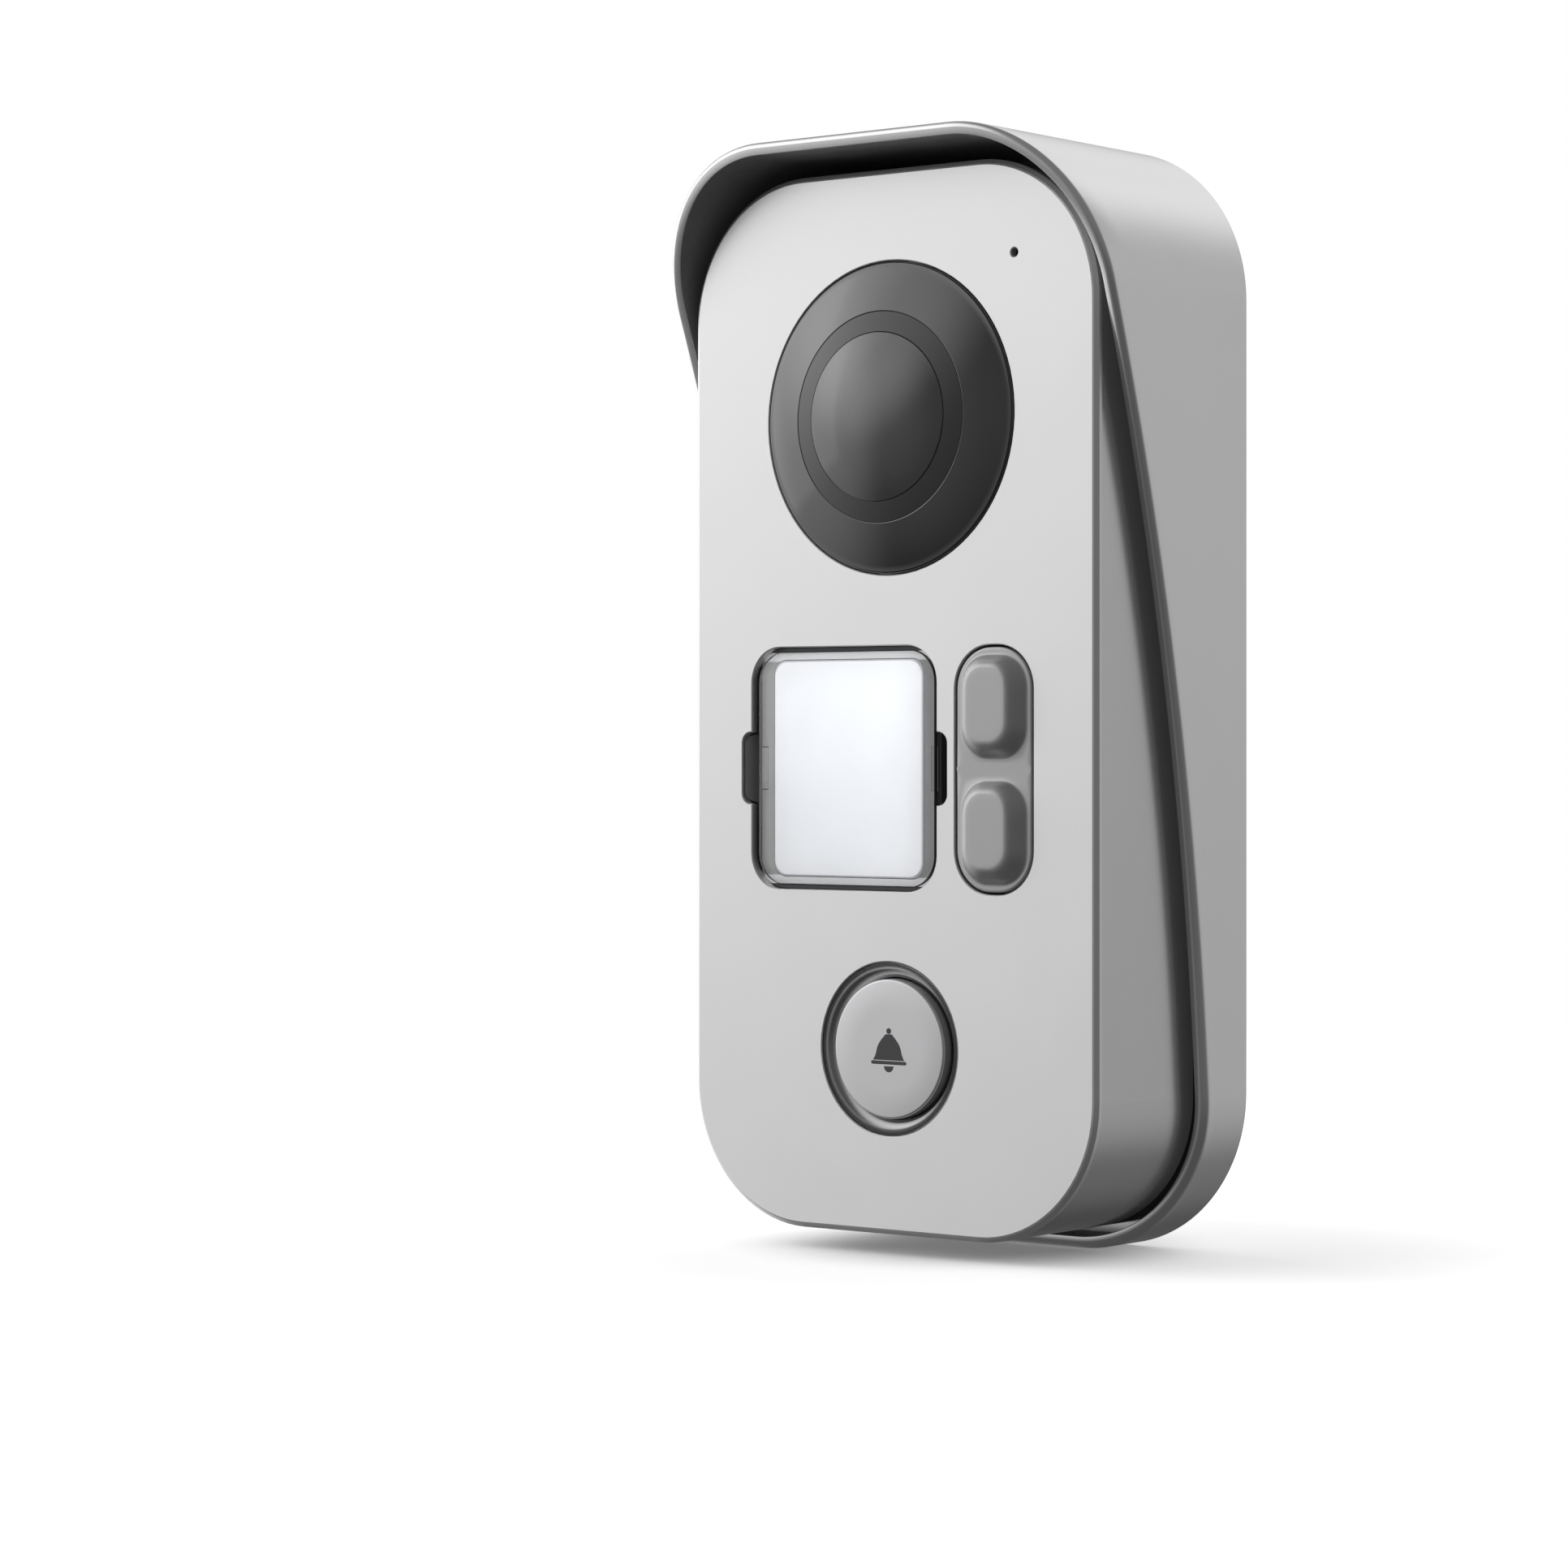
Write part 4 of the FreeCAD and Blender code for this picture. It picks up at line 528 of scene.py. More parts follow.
def rounded_rect(cx, cz, w, h, r, steps=16):
    """Points (x, z) round a rounded rectangle, counter-clockwise from the right side."""
    out = []
    for sx, sz, start in ((1, 1, 0), (-1, 1, 90), (-1, -1, 180), (1, -1, 270)):
        for k in range(steps + 1):
            a = math.radians(start + 90 * k / steps)
            out.append((cx + sx * (w / 2 - r) + r * math.cos(a), cz + sz * (h / 2 - r) + r * math.sin(a)))
    return out


def circle(cx, cz, r, steps=48):
    """Points (x, z) round a circle."""
    turns = [2 * math.pi * k / steps for k in range(steps)]
    return [(cx + r * math.cos(a), cz + r * math.sin(a)) for a in turns]


def flat_plate(name, outlines, y0, y1, bevel, material, body):
    """Plate between two depths with a bevelled edge. The first outline is the outside, the rest are holes."""
    curve = bpy.data.curves.new(name, "CURVE")
    curve.dimensions = "2D"
    curve.fill_mode = "BOTH"
    curve.extrude = (y1 - y0) / 2 - bevel
    curve.offset = -bevel
    curve.bevel_depth = bevel
    curve.bevel_resolution = 2
    for points in outlines:
        spline = curve.splines.new("POLY")
        spline.points.add(len(points) - 1)
        for point, (x, z) in zip(spline.points, points):
            point.co = (x, z, 0, 1)
        spline.use_cyclic_u = True
    holder = bpy.data.objects.new(name, curve)
    mesh = bpy.data.meshes.new_from_object(holder)
    bpy.data.objects.remove(holder)
    mesh.transform(Matrix.Translation((0, (y0 + y1) / 2, 0)) @ Matrix.Rotation(math.radians(90), 4, "X"))
    bm = bmesh.new()
    bm.from_mesh(mesh)
    bmesh.ops.remove_doubles(bm, verts=bm.verts, dist=WELD)
    piece = new_piece(name, bm, [material], body, 30)
    for face in piece.data.polygons:
        face.use_smooth = abs(face.normal.y) < FLAT_FACING
    return piece


def cut(piece, cutter):
    """Takes the cutter's shape out of the piece, then removes the cutter."""
    modifier = piece.modifiers.new("cut", "BOOLEAN")
    modifier.operation = "DIFFERENCE"
    modifier.solver = "EXACT"
    modifier.object = cutter
    bpy.context.view_layer.update()
    mesh = bpy.data.meshes.new_from_object(piece.evaluated_get(bpy.context.evaluated_depsgraph_get()))
    piece.modifiers.remove(modifier)
    piece.data = mesh
    bpy.data.objects.remove(cutter)


# ---------------------------------------------------------------- rain hood

HOOD_R = 22.9 * MM
HOOD_HALF_W = 37.8 * MM                     # at the wall
HOOD_DRAFT = 0.0563
HOOD_WALL = 1.8 * MM
HOOD_ROWS = 8
HOOD_MIDDLE = (HOOD_LOW.z + HOOD_HIGH.z) / 2
HOOD_HALF_H = (HOOD_HIGH.z - HOOD_LOW.z) / 2
CORNER_STEPS, SIDE_STEPS, END_STEPS = 28, 44, 12
EDGE_ROUND_LOW, EDGE_ROUND_HIGH, EDGE_INNER = 1.6 * MM, 0.9 * MM, 0.1 * MM
EDGE_LEAN = 0.55
EDGE_SPAN = 82.0 * MM
EDGE_LOW, EDGE_MID, EDGE_HIGH = 24.1 * MM, 15.4 * MM, -10.6 * MM
EDGE_ARC = circle_through((EDGE_LOW, -EDGE_SPAN), (EDGE_MID, 0.0), (EDGE_HIGH, EDGE_SPAN))
LOCK_GAP, LOCK_FLARE, LOCK_TIP = 0.06 * MM, 1.2 * MM, 1.7 * MM
LOCK_DEPTH, LOCK_LIFT = 2.8 * MM, 0.2 * MM
BACK_FRONT, BACK_REAR, BACK_BEVEL = -3.0 * MM, -1.4 * MM, 0.15 * MM
BACK_SINK = 0.2 * MM                        # the back runs into the shell, and the pads into the back
WALL_HOLES = [(x * MM, z * MM) for x in (-26, 26) for z in (-55, 55)]
WALL_HOLE_R, WALL_PAD_R = 2.25 * MM, 5.5 * MM
CABLE_HOLE = (46 * MM, 64 * MM, 4 * MM)
HOOK_SLOTS = [(-14 * MM, 65 * MM), (14 * MM, 65 * MM)]
HOOK_SLOT_SIZE = (6 * MM, 6 * MM, 0.6 * MM)


def edge_y(z):
    """Depth of the hood's front edge at a height."""
    x, centre_z, radius = EDGE_ARC
    return FACE + x + math.sqrt(radius ** 2 - (z - centre_z) ** 2)


def hood_stations():
    """Walk round the hood: the corner centre's share of the half width and height, and the normal."""
    stations = []
    for sx, sz, start, run, steps in ((1, 1, 0, (-1, 1), END_STEPS), (-1, 1, 90, (-1, -1), SIDE_STEPS),
                                      (-1, -1, 180, (1, -1), END_STEPS), (1, -1, 270, (1, 1), SIDE_STEPS)):
        for k in range(CORNER_STEPS + 1):
            a = math.radians(start + 90 * k / CORNER_STEPS)
            stations.append((sx, sz, math.cos(a), math.sin(a)))
        a = math.radians(start + 90)
        for k in range(1, steps):
            t = k / steps
            stations.append((sx + (run[0] - sx) * t, sz + (run[1] - sz) * t, math.cos(a), math.sin(a)))
    return stations


def hood_point(station, inset, y):
    """Point on the hood's outline at a depth, moved inwards by the inset."""
    sx, sz, nx, nz = station
    half_w = HOOD_HALF_W + HOOD_DRAFT * (WALL - y)
    x = sx * (half_w - HOOD_R) + (HOOD_R - inset) * nx
    z = HOOD_MIDDLE + sz * (HOOD_HALF_H - HOOD_R) + (HOOD_R - inset) * nz
    return x, y, z


def hood_section(station):
    """Points once round the hood's wall at a station, and how many of them are silver."""
    z = hood_point(station, HOOD_WALL, WALL)[2]
    rim_y = edge_y(z)
    up = (z - HOOD_LOW.z) / (HOOD_HIGH.z - HOOD_LOW.z)
    edge_round = EDGE_ROUND_LOW + (EDGE_ROUND_HIGH - EDGE_ROUND_LOW) * up
    lean = EDGE_LEAN * up * (HOOD_WALL - EDGE_INNER - edge_round)
    outside = [(0, edge_round, k / HOOD_ROWS) for k in range(HOOD_ROWS)]
    outer_edge = [(edge_round * (1 - math.cos(a)), edge_round * (1 - math.sin(a)), 1) for a in quarter(6)]
    inner_edge = [(HOOD_WALL - EDGE_INNER * (1 - math.sin(a)), lean + EDGE_INNER * (1 - math.cos(a)), 1)
                  for a in quarter(4)]
    inside = [(HOOD_WALL, lean + EDGE_INNER, 1 - (k + 1) / HOOD_ROWS) for k in range(HOOD_ROWS)]
    silver = outside + outer_edge + inner_edge
    points = [hood_point(station, inset, WALL + (rim_y + past_edge - WALL) * share)
              for inset, past_edge, share in silver + inside]
    return points, len(silver)


def build_hood(finishes):
    """Hood with its front edge cut along an arc: silver outside and on the edge, dark inside."""
    bm = bmesh.new()
    loops = []
    for station in hood_stations():
        points, silver = hood_section(station)
        loops.append([bm.verts.new(point) for point in points])
    for here, there in zip(loops, loops[1:] + loops[:1]):
        for i in range(len(here)):
            j = (i + 1) % len(here)
            dark = silver - 1 <= i < len(here) - 1
            bm.faces.new((here[i], here[j], there[j], there[i])).material_index = int(dark)
    looks = [finishes["hood"], finishes["hood_inside"]]
    hood = new_piece("hood_shell", bm, looks, STATION, 40)
    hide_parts("rain_hood")
    cut(hood, lock_hole(finishes))
    build_back(finishes)


def lock_hole(finishes):
    """Flared hole for the head of the lock screw, to be cut out of the hood's underside."""
    low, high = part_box("lock_screw")
    mouth = (high.y - low.y) / 2 + LOCK_GAP + LOCK_FLARE
    place = Matrix.Translation((0, (low.y + high.y) / 2, HOOD_LOW.z + LOCK_LIFT))
    bm = bmesh.new()
    bmesh.ops.create_cone(bm, cap_ends=True, segments=64, radius1=mouth, radius2=LOCK_TIP, depth=LOCK_DEPTH,
                          matrix=place)
    return new_piece("lock_hole", bm, [finishes["hood"]], None)


def build_back(finishes):
    """Back of the hood with its openings, and a pad round each wall hole."""
    width = 2 * (HOOD_HALF_W - HOOD_WALL + BACK_SINK)
    height = 2 * (HOOD_HALF_H - HOOD_WALL + BACK_SINK)
    outlines = [rounded_rect(0, HOOD_MIDDLE, width, height, HOOD_R - HOOD_WALL, 24),
                rounded_rect(0, 0, *CABLE_HOLE)]
    outlines += [circle(x, z, WALL_HOLE_R) for x, z in WALL_HOLES]
    outlines += [rounded_rect(x, z, *HOOK_SLOT_SIZE, 6) for x, z in HOOK_SLOTS]
    flat_plate("hood_back", outlines, BACK_FRONT, BACK_REAR, BACK_BEVEL, finishes["hood"], STATION)
    for i, (x, z) in enumerate(WALL_HOLES):
        outlines = [circle(x, z, WALL_PAD_R), circle(x, z, WALL_HOLE_R)]
        flat_plate(f"hood_pad_{i + 1}", outlines, BACK_REAR - BACK_SINK, WALL, BACK_BEVEL, finishes["hood"],
                   STATION)


# ---------------------------------------------------------------- camera window

# Radii from the lens axis, and depths behind the plate's face
DOME_R, RING_OUT, RING_IN = 22.2 * MM, 15.0 * MM, 12.0 * MM
DOME_SPHERE, LENS_SPHERE = 64.0 * MM, 40.0 * MM
DOME_BEVEL, DOME_BEVEL_DROP = 0.45 * MM, 0.25 * MM
BEVEL_SHARES = (0.08, 0.25, 0.5, 0.75, 0.92, 1.0)
DOME_CHAMFER, DOME_CHAMFER_DROP = 0.10 * MM, 0.06 * MM      # round the hole for the ring
DOME_FLANGE_R, DOME_BACK_R = 23.4 * MM, 20.8 * MM
DOME_FLANGE, DOME_BACK, DOME_INNER_BACK = 1.3 * MM, 2.3 * MM, -0.1 * MM
RING_STEP, RING_GAP = 0.04 * MM, 0.015 * MM                 # the ring lies a little deeper than the dome
SMALL_CHAMFER, SMALL_CHAMFER_DROP = 0.07 * MM, 0.05 * MM
RING_SEAT_R, RING_BACK, RING_SEAT = 10.6 * MM, 1.6 * MM, -0.5 * MM
LENS_BACK, LENS_HOLLOW_R, LENS_HOLLOW = -0.52 * MM, 10.8 * MM, 1.8 * MM
HOLLOW_RADII = (LENS_HOLLOW_R, 7.0 * MM, 3.0 * MM, 0.0)
# Outlines as (radius, depth behind the plate's face), in mm
LENS_TUBE = [(6.3, 1.4), (6.6, 0.75), (7.4, 0.55), (7.5, 0.9), (7.9, 0.9), (8.0, 0.6), (8.35, 0.6),
             (8.4, 0.9), (8.4, 3.4), (6.0, 4.4), (6.0, 9.4), (4.6, 9.4), (4.6, 3.6), (6.3, 3.6)]
FRONT_ELEMENT = [(0, 0.9), (1.2, 0.94), (2.5, 1.1), (4.0, 1.45), (5.2, 1.92), (5.3, 2.2), (6.1, 2.25),
                 (6.2, 2.4), (6.2, 3.55), (0, 3.55)]


def behind_face(outline):
    """Outline in metres from one in mm behind the plate's face."""
    return [(r * MM, FACE + depth * MM) for r, depth in outline]


def cap_y(radius, sphere=DOME_SPHERE, rim=DOME_R, rim_y=FACE):
    """Depth of a spherical cap at a radius, from the depth of its rim."""
    return rim_y + math.sqrt(sphere ** 2 - rim ** 2) - math.sqrt(sphere ** 2 - radius ** 2)


def lens_y(radius):
    """Depth of the lens cover, which bulges more than the dome."""
    return cap_y(radius, LENS_SPHERE, RING_IN, cap_y(RING_IN))


def arc_rows(inner, outer, rows, depth):
    """Points (radius, depth) from one radius to another."""
    radii = [inner + (outer - inner) * k / rows for k in range(rows + 1)]
    return [(r, depth(r)) for r in radii]


def build_window(finishes):
    """Smoked window round the lens."""
    shoulder = DOME_R - DOME_BEVEL
    drop = cap_y(shoulder) - FACE
    edge = [(RING_OUT, cap_y(RING_OUT) + DOME_CHAMFER_DROP)]
    rows = arc_rows(RING_OUT + DOME_CHAMFER, shoulder, 10, cap_y)
    bevel = [(shoulder + DOME_BEVEL * s, FACE + drop * (1 - s ** 2) + DOME_BEVEL_DROP * s ** 3)
             for s in BEVEL_SHARES]
    rest = [(DOME_R, FACE + DOME_FLANGE), (DOME_FLANGE_R, FACE + DOME_FLANGE),
            (DOME_FLANGE_R, FACE + DOME_BACK), (DOME_BACK_R, FACE + DOME_BACK),
            (RING_OUT, FACE + DOME_INNER_BACK)]
    window = lathe("dome_window", CAMERA_Z, edge + rows + bevel + rest, finishes["dome"], STATION,
                   256, 22)
    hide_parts("ir_window")


def build_ring(finishes):
    """Black ring between the window and the lens cover."""
    outer, inner = RING_OUT - RING_GAP, RING_IN + RING_GAP
    rows = arc_rows(inner + SMALL_CHAMFER, outer - SMALL_CHAMFER, 5, lambda r: cap_y(r) + RING_STEP)
    start = (inner, cap_y(inner) + RING_STEP + SMALL_CHAMFER_DROP)
    end = (outer, cap_y(outer) + RING_STEP + SMALL_CHAMFER_DROP)
    rest = [(outer, FACE + RING_BACK), (RING_SEAT_R, FACE + RING_BACK), (RING_SEAT_R, FACE + RING_SEAT),
            (inner, FACE + RING_SEAT)]
    ring = lathe("dome_ring", CAMERA_Z, [start] + rows + [end] + rest, finishes["ring"], STATION,
                 256, 22)
    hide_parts("lens_ring")


def build_lens(finishes):
    """Lens cover, and the lens tube and front element that show through it."""
    rows = arc_rows(0, RING_IN - SMALL_CHAMFER, 12, lens_y)
    front = rows + [(RING_IN, cap_y(RING_IN) + SMALL_CHAMFER_DROP)]
    hollow = [(r, FACE + LENS_BACK - (1 - r / LENS_HOLLOW_R) * LENS_HOLLOW) for r in HOLLOW_RADII]
    cover = lathe("lens_window", CAMERA_Z, front + [(RING_IN, FACE + LENS_BACK)] + hollow, finishes["lens"],
                  STATION, 192, 22, (len(front), finishes["inner"]))
    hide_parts("lens_cover")
    barrel = lathe("lens_tube", CAMERA_Z, behind_face(LENS_TUBE), finishes["barrel"], STATION,
                   128, 22)
    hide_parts("lens_barrel")
    element = lathe("front_element", CAMERA_Z, behind_face(FRONT_ELEMENT), finishes["optic"], STATION,
                    128, 22)
    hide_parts("lens_front_element")


# ---------------------------------------------------------------- soft key pad

PAD_LOW, PAD_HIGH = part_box("keypad_frame")
PAD_W, PAD_H, PAD_R = 13.2 * MM, 34.3 * MM, 5.9 * MM
KEY_TOP = (6.3 * MM, 10.1 * MM, 2.6 * MM)
KEY_FOOT = (11.7 * MM, 14.7 * MM, 4.4 * MM)
KEY_LIFT = 0.35 * MM                        # how far the key's top sits above the middle of its foot
SHOULDER = 0.82                             # share of the slope taken by its convex part
PAD_EDGE = 0.3 * MM
PAD_DEPTH = 1.0 * MM
CORNER_POINTS = 14
KEY_RAYS, KEY_ROWS = 160, 14
TOP_SHARES, FLAT_SHARES = (0.5, 0.85), (0.5, 1.0)
PARALLEL, SLACK = 1e-15, 1e-9


def ray_hit(outline, centre, angle):
    """Where a ray from the centre crosses a closed outline."""
    o, d = Vector(centre), Vector((math.cos(angle), math.sin(angle)))
    for p, q in zip(outline, outline[1:] + outline[:1]):
        a, b = Vector(p) - o, Vector(q) - o
        side = b - a
        across = d.x * side.y - d.y * side.x
        if abs(across) < PARALLEL:
            continue
        reach = (a.x * side.y - a.y * side.x) / across
        share = (a.x * d.y - a.y * d.x) / across
        if reach > 0 and -SLACK <= share <= 1 + SLACK:
            return o + d * reach
    raise ValueError("the ray misses the outline")


def half_pad(x, z, upper):
    """Outline of the pad's half that holds one key, cut straight at the pad's middle."""
    whole = rounded_rect(x, z, PAD_W, PAD_H, PAD_R, CORNER_POINTS)
    if upper:
        return [p for p in whole if p[1] > z] + [(x - PAD_W / 2, z), (x + PAD_W / 2, z)]
    return [p for p in whole if p[1] < z] + [(x + PAD_W / 2, z), (x - PAD_W / 2, z)]


def build_key_skin(name, node, upper, finishes):
    """Soft skin over half of the pad: a mound that rises out of the flat over its key."""
    low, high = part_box(node)
    x, z = (low.x + high.x) / 2, (low.z + high.z) / 2
    centre = Vector((x, z))
    pad_z = (PAD_LOW.z + PAD_HIGH.z) / 2
    flat_y, top_y = PAD_LOW.y, low.y
    top = rounded_rect(x, z + KEY_LIFT, *KEY_TOP, CORNER_POINTS)
    foot = rounded_rect(x, z, *KEY_FOOT, CORNER_POINTS)
    edge = half_pad(x, pad_z, upper)
    corners = [math.atan2(pad_z - z, s * PAD_W / 2) for s in (-1, 1)]
    angles = sorted([2 * math.pi * k / KEY_RAYS - math.pi for k in range(KEY_RAYS)] + corners)
    top_at = [ray_hit(top, centre, a) for a in angles]
    foot_at = [ray_hit(foot, centre, a) for a in angles]
    edge_at = [ray_hit(edge, centre, a) for a in angles]
    on_seam = [abs(q.y - pad_z) < TINY for q in edge_at]
    bm = bmesh.new()
    loops = []

    def add_loop(points, depths):
        loops.append([bm.verts.new((p.x, y, p.y)) for p, y in zip(points, depths)])

    def level(y):
        return [y] * len(angles)

    def inside_edge(inset):
        return [centre.lerp(q, 1 - inset / (q - centre).length) for q in edge_at]

    for share in TOP_SHARES:
        add_loop([centre.lerp(p, share) for p in top_at], level(top_y))
    for k in range(KEY_ROWS + 1):
        s = k / KEY_ROWS
        fall = s * s / SHOULDER if s < SHOULDER else 1 - (1 - s) ** 2 / (1 - SHOULDER)
        add_loop([p.lerp(q, s) for p, q in zip(top_at, foot_at)], level(top_y + (flat_y - top_y) * fall))
    for share in FLAT_SHARES:
        add_loop([p.lerp(q, share) for p, q in zip(foot_at, inside_edge(PAD_EDGE))], level(flat_y))
    for a in quarter(3)[1:]:
        drop = PAD_EDGE * (1 - math.cos(a))
        depths = [flat_y if seam else flat_y + drop for seam in on_seam]
        add_loop(inside_edge(PAD_EDGE * (1 - math.sin(a))), depths)
    add_loop(edge_at, level(flat_y + PAD_DEPTH))
    for here, there in zip(loops, loops[1:]):
        bridge(bm, here, there)
    for loop, y in ((loops[0], top_y), (loops[-1], flat_y + PAD_DEPTH)):
        hub = bm.verts.new((x, y, z))
        for i in range(len(loop)):
            bm.faces.new((loop[i], loop[(i + 1) % len(loop)], hub))
    skin = new_piece(name, bm, [finishes["silicone"]], None, 60)
    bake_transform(skin)
    return skin


def build_keypad(finishes):
    """The two halves of the soft pad, each with its key."""
    upper = build_key_skin("pad_upper", "upper_key", True, finishes)
    lower = build_key_skin("pad_lower", "lower_key", False, finishes)
    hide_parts("upper_key", "keypad_frame")
    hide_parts("lower_key")


# ---------------------------------------------------------------- name plate cover

COVER_BEVEL, COVER_R, COVER_T = 0.8 * MM, 4.5 * MM, 1.3 * MM
BEVEL_ROUND, BEVEL_ROWS = 0.6, 6            # share of the bevel that is round, the rest is straight
POCKET = (28.0 * MM, 31.6 * MM, 2.5 * MM)
POCKET_DEPTH = 1.0 * MM
LEG_OFFSET, LEG_T, LEG_HALF_W = 15.7 * MM, 1.0 * MM, 3.0 * MM
CLEAR, INNER, LEG, EDGE = range(4)          # places of the cover's materials
COVER_CORNER_POINTS = 12


def add_box(bm, x0, x1, y0, y1, z0, z1, material_index):
    """Box as its own closed shell inside the mesh."""
    corners = [bm.verts.new((x, y, z)) for x in (x0, x1) for y in (y0, y1) for z in (z0, z1)]
    for face in ((0, 1, 3, 2), (4, 6, 7, 5), (0, 4, 5, 1), (2, 3, 7, 6), (0, 2, 6, 4), (1, 5, 7, 3)):
        bm.faces.new([corners[i] for i in face]).material_index = material_index


def build_cover(finishes):
    """Clear cover with a soft bevel round its front, a pocket over the label and two spring legs."""
    low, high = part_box("nameplate_cover")
    x, z = (low.x + high.x) / 2, (low.z + high.z) / 2
    w, h = high.x - low.x, high.z - low.z
    bm = bmesh.new()
    loops = []

    def add_loop(width, height, r, y):
        outline = rounded_rect(x, z, width, height, r, COVER_CORNER_POINTS)
        loops.append([bm.verts.new((px, y, pz)) for px, pz in outline])

    for k, a in enumerate(quarter(BEVEL_ROWS)):
        across, back = 1 - math.sin(a), 1 - math.cos(a)
        inset = COVER_BEVEL * (BEVEL_ROUND * across + (1 - BEVEL_ROUND) * (BEVEL_ROWS - k) / BEVEL_ROWS)
        drop = COVER_BEVEL * (BEVEL_ROUND * back + (1 - BEVEL_ROUND) * k / BEVEL_ROWS)
        add_loop(w - 2 * inset, h - 2 * inset, COVER_R - inset, low.y + drop)
    add_loop(w, h, COVER_R, low.y + COVER_T)
    add_loop(*POCKET, low.y + COVER_T)
    add_loop(*POCKET, low.y + POCKET_DEPTH)
    # The outer wall and last bevel row take the edge's painted shade
    looks = [CLEAR] * (BEVEL_ROWS - 1) + [EDGE] * 2 + [INNER] * 2
    for look, here, there in zip(looks, loops, loops[1:]):
        bridge(bm, here, there, look)
    bm.faces.new(loops[0])
    bm.faces.new(loops[-1]).material_index = INNER
    for side in (-1, 1):
        middle_x = x + side * LEG_OFFSET
        add_box(bm, middle_x - LEG_T / 2, middle_x + LEG_T / 2, low.y + COVER_T, high.y, z - LEG_HALF_W,
                z + LEG_HALF_W, LEG)
    materials = [finishes[key] for key in ("clear", "inner", "leg", "cover_edge_shade")]
    cover = new_piece("clear_cover", bm, materials, "nameplate_cover", 40)
    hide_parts("nameplate_cover")


# ---------------------------------------------------------------- call button

CAP_EDGE, CAP_FLAT = 0.35 * MM, 0.6         # radius of the cap's edge, and where its front has a row
# Outlines as (radius, depth) in mm, the cap's behind its own face and the ring's behind the plate's
CAP_INSIDE = [(9.0, 5.2), (9.0, 1.6), (2.0, 1.6), (2.0, 8.05), (1.5, 8.05), (1.5, 8.5), (2.0, 8.5),
              (2.0, 9.0), (0, 9.0)]
CAP_SKIRT = 5.2 * MM
DISH_ARC = ((10.6, 1.5), (11.75, 1.05), (12.17, 0.12))
RING_BODY = [(12.32, 0.3), (12.32, 3.05), (14.0, 3.05), (14.0, 4.05), (11.6, 4.05), (11.6, 8.0), (2.3, 8.0),
             (2.3, 7.0), (10.2, 7.0), (10.2, 1.8)]
SPRING_WIRE, SPRING_TURNS = 0.28 * MM, 5
SPRING_EVEN = 0.4                           # share of the rise that is even, the rest eases in at both ends
SPRING_STEPS, SPRING_SIDES = 28, 10         # rows to a turn, and points round the wire
SIGN_HEIGHT, SIGN_SINK, SIGN_BEVEL = 0.03 * MM, 0.05 * MM, 0.01 * MM
BELL_ROWS, BELL_TOP, BELL_TALL = 12, 2.1 * MM, 3.7 * MM
BELL_CROWN, BELL_BODY, BELL_FLARE = 0.55 * MM, 1.55 * MM, 0.75 * MM     # parts of the bell's half width
BELL_FULL = 1.6                             # the body is full after 1 / 1.6 of the way down
LIP_Z, LIP = -1.95 * MM, (6.4 * MM, 0.5 * MM, 0.24 * MM)
CLAPPER_Z, CLAPPER_R = -2.45 * MM, 0.85 * MM
KNOB_Z, KNOB_R = 2.55 * MM, 0.42 * MM


def build_call(finishes):
    """Silver cap in a dark dished ring, with a plain bell sign."""
    low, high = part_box("call_button")
    cap_r = (high.x - low.x) / 2
    y = low.y
    front = [(0, y), (cap_r * CAP_FLAT, y)]
    edge = [(cap_r - CAP_EDGE * (1 - math.sin(a)), y + CAP_EDGE * (1 - math.cos(a))) for a in quarter(6)]
    rest = [(cap_r, y + CAP_SKIRT)] + [(r * MM, y + depth * MM) for r, depth in CAP_INSIDE]
    cap = lathe("call_cap", CALL_Z, front + edge + rest, finishes["cap"], "call_button",
                160, 30)
    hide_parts("call_button")
    profile = behind_face(arc_points(*DISH_ARC, 12) + RING_BODY)
    ring = lathe("call_dish", CALL_Z, profile, finishes["trim"], STATION, 192, 30)
    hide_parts("call_ring")
    build_bell(y, finishes)


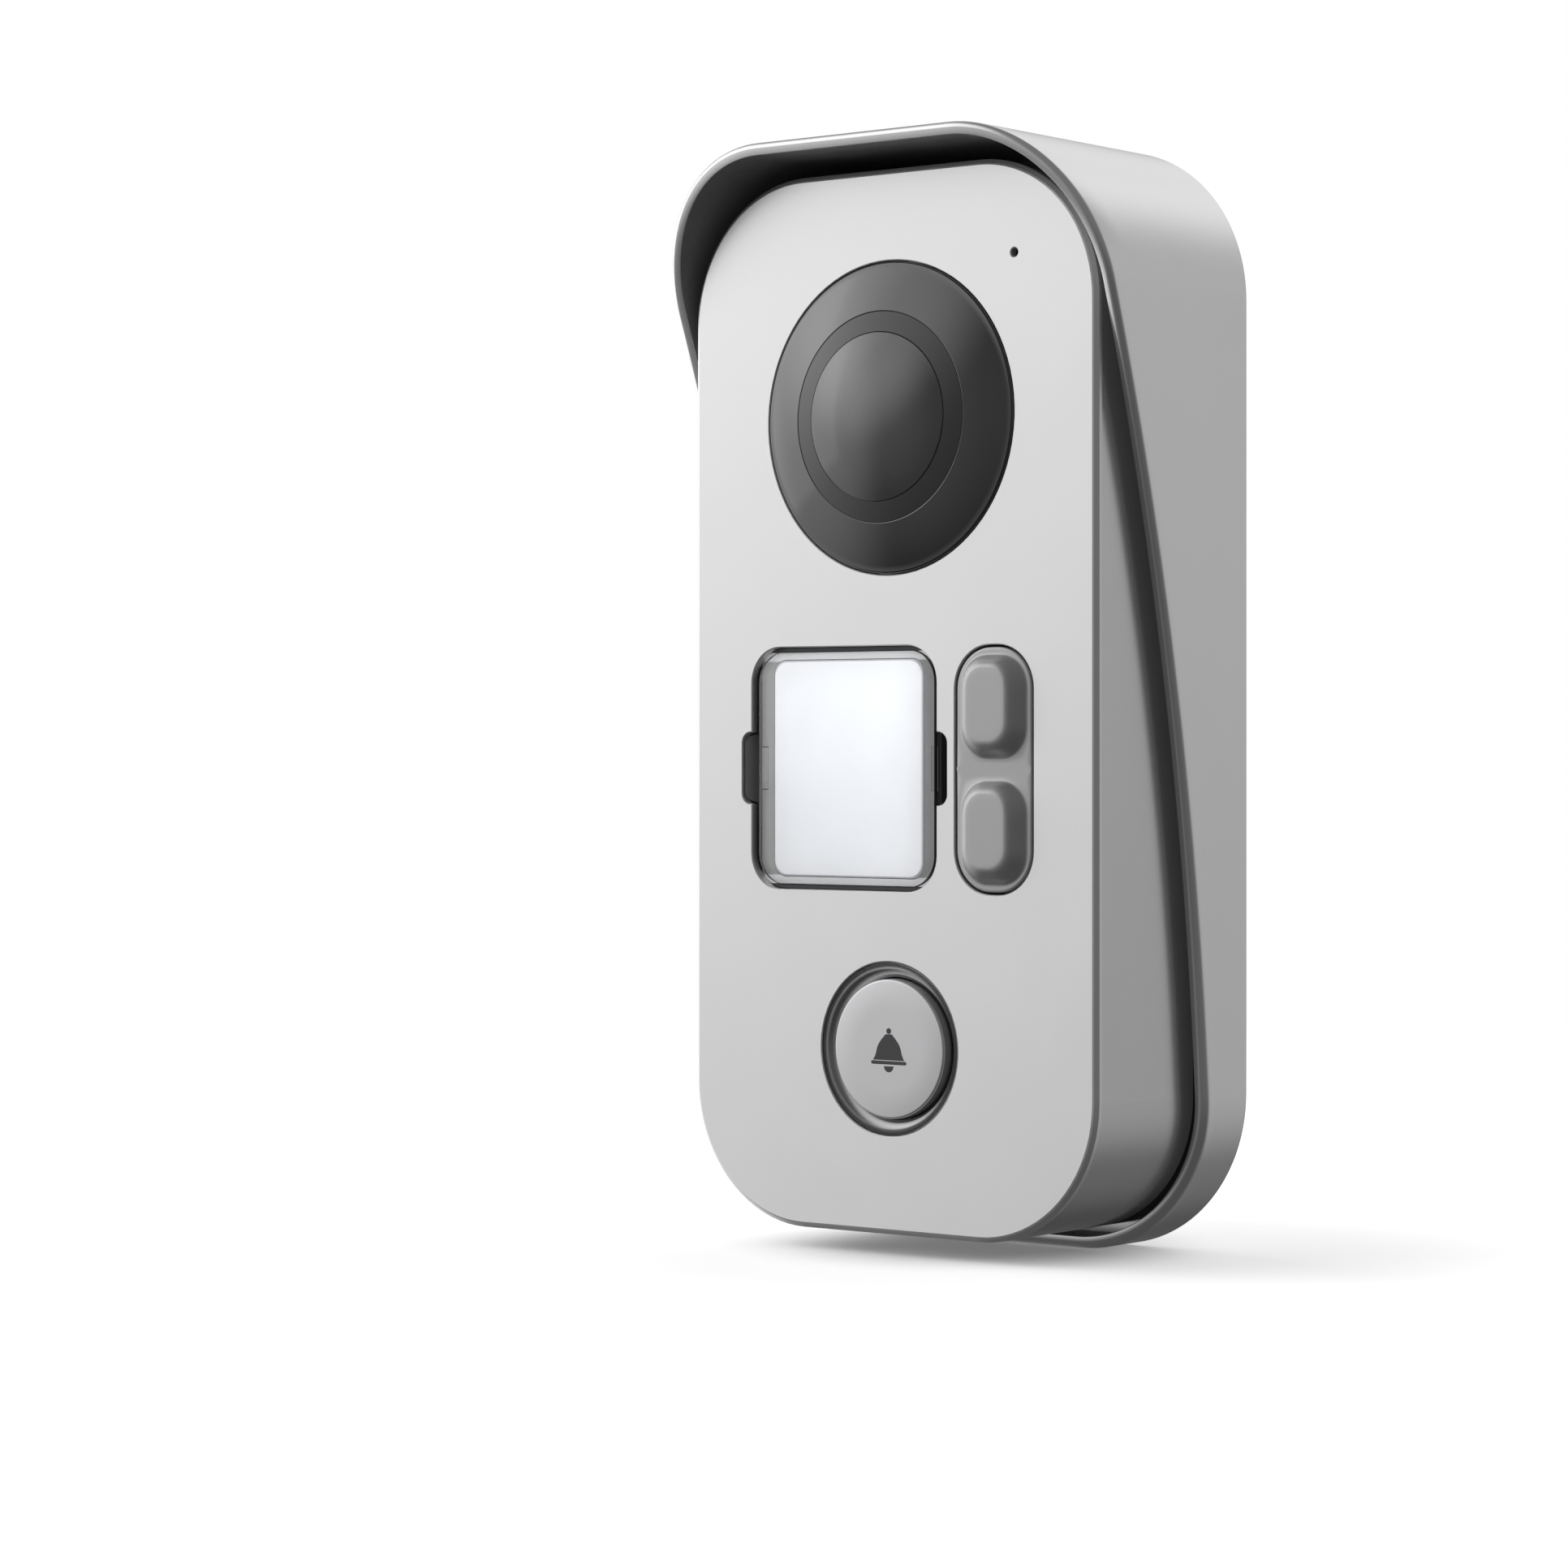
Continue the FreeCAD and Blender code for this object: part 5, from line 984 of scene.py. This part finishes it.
def build_bell(y, finishes):
    """Bell sign printed on the cap: knob, flared body, lip and clapper."""
    right = []
    for k in range(BELL_ROWS + 1):
        t = k / BELL_ROWS
        width = BELL_CROWN + BELL_BODY * math.sin(math.pi / 2 * min(1, BELL_FULL * t)) + BELL_FLARE * t ** 4
        right.append((width, CALL_Z + BELL_TOP - BELL_TALL * t))
    outlines = {
        "body": right + [(-x, z) for x, z in reversed(right)],
        "lip": rounded_rect(0, CALL_Z + LIP_Z, *LIP, 6),
        "clapper": circle(0, CALL_Z + CLAPPER_Z, CLAPPER_R, 36)[18:] + [(CLAPPER_R, CALL_Z + CLAPPER_Z)],
        "knob": circle(0, CALL_Z + KNOB_Z, KNOB_R, 24),
    }
    for part, outline in outlines.items():
        flat_plate(f"bell_{part}", [outline], y - SIGN_HEIGHT, y + SIGN_SINK, SIGN_BEVEL, finishes["sign"],
                   "call_button")


def build_spring(finishes):
    """Return spring, its coils closer together at both ends."""
    low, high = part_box("call_spring")
    radius = (high.x - low.x) / 2 - SPRING_WIRE
    length = high.y - low.y - 2 * SPRING_WIRE
    bm = bmesh.new()
    rings = []
    for k in range(SPRING_STEPS * SPRING_TURNS + 1):
        share = k / (SPRING_STEPS * SPRING_TURNS)
        eased = share * share * (3 - 2 * share)
        y = low.y + SPRING_WIRE + length * (SPRING_EVEN * share + (1 - SPRING_EVEN) * eased)
        a = 2 * math.pi * SPRING_TURNS * share
        wire = circle(radius, y, SPRING_WIRE, SPRING_SIDES)
        rings.append([bm.verts.new((r * math.cos(a), depth, CALL_Z + r * math.sin(a))) for r, depth in wire])
    for here, there in zip(rings, rings[1:]):
        bridge(bm, here, there)
    bm.faces.new(rings[0])
    bm.faces.new(rings[-1])
    spring = new_piece("return_spring", bm, [finishes["steel"]], None, 60)
    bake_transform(spring)
    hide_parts("call_spring")


# ---------------------------------------------------------------- build

place_camera()
build_world()
build_floor()
build_light()
bpy.context.scene.view_settings.view_transform = "Standard"

finishes = build_materials()
finish_cad_nodes(finishes)
build_hood(finishes)
build_window(finishes)
build_ring(finishes)
build_lens(finishes)
build_keypad(finishes)
build_cover(finishes)
build_call(finishes)
build_spring(finishes)
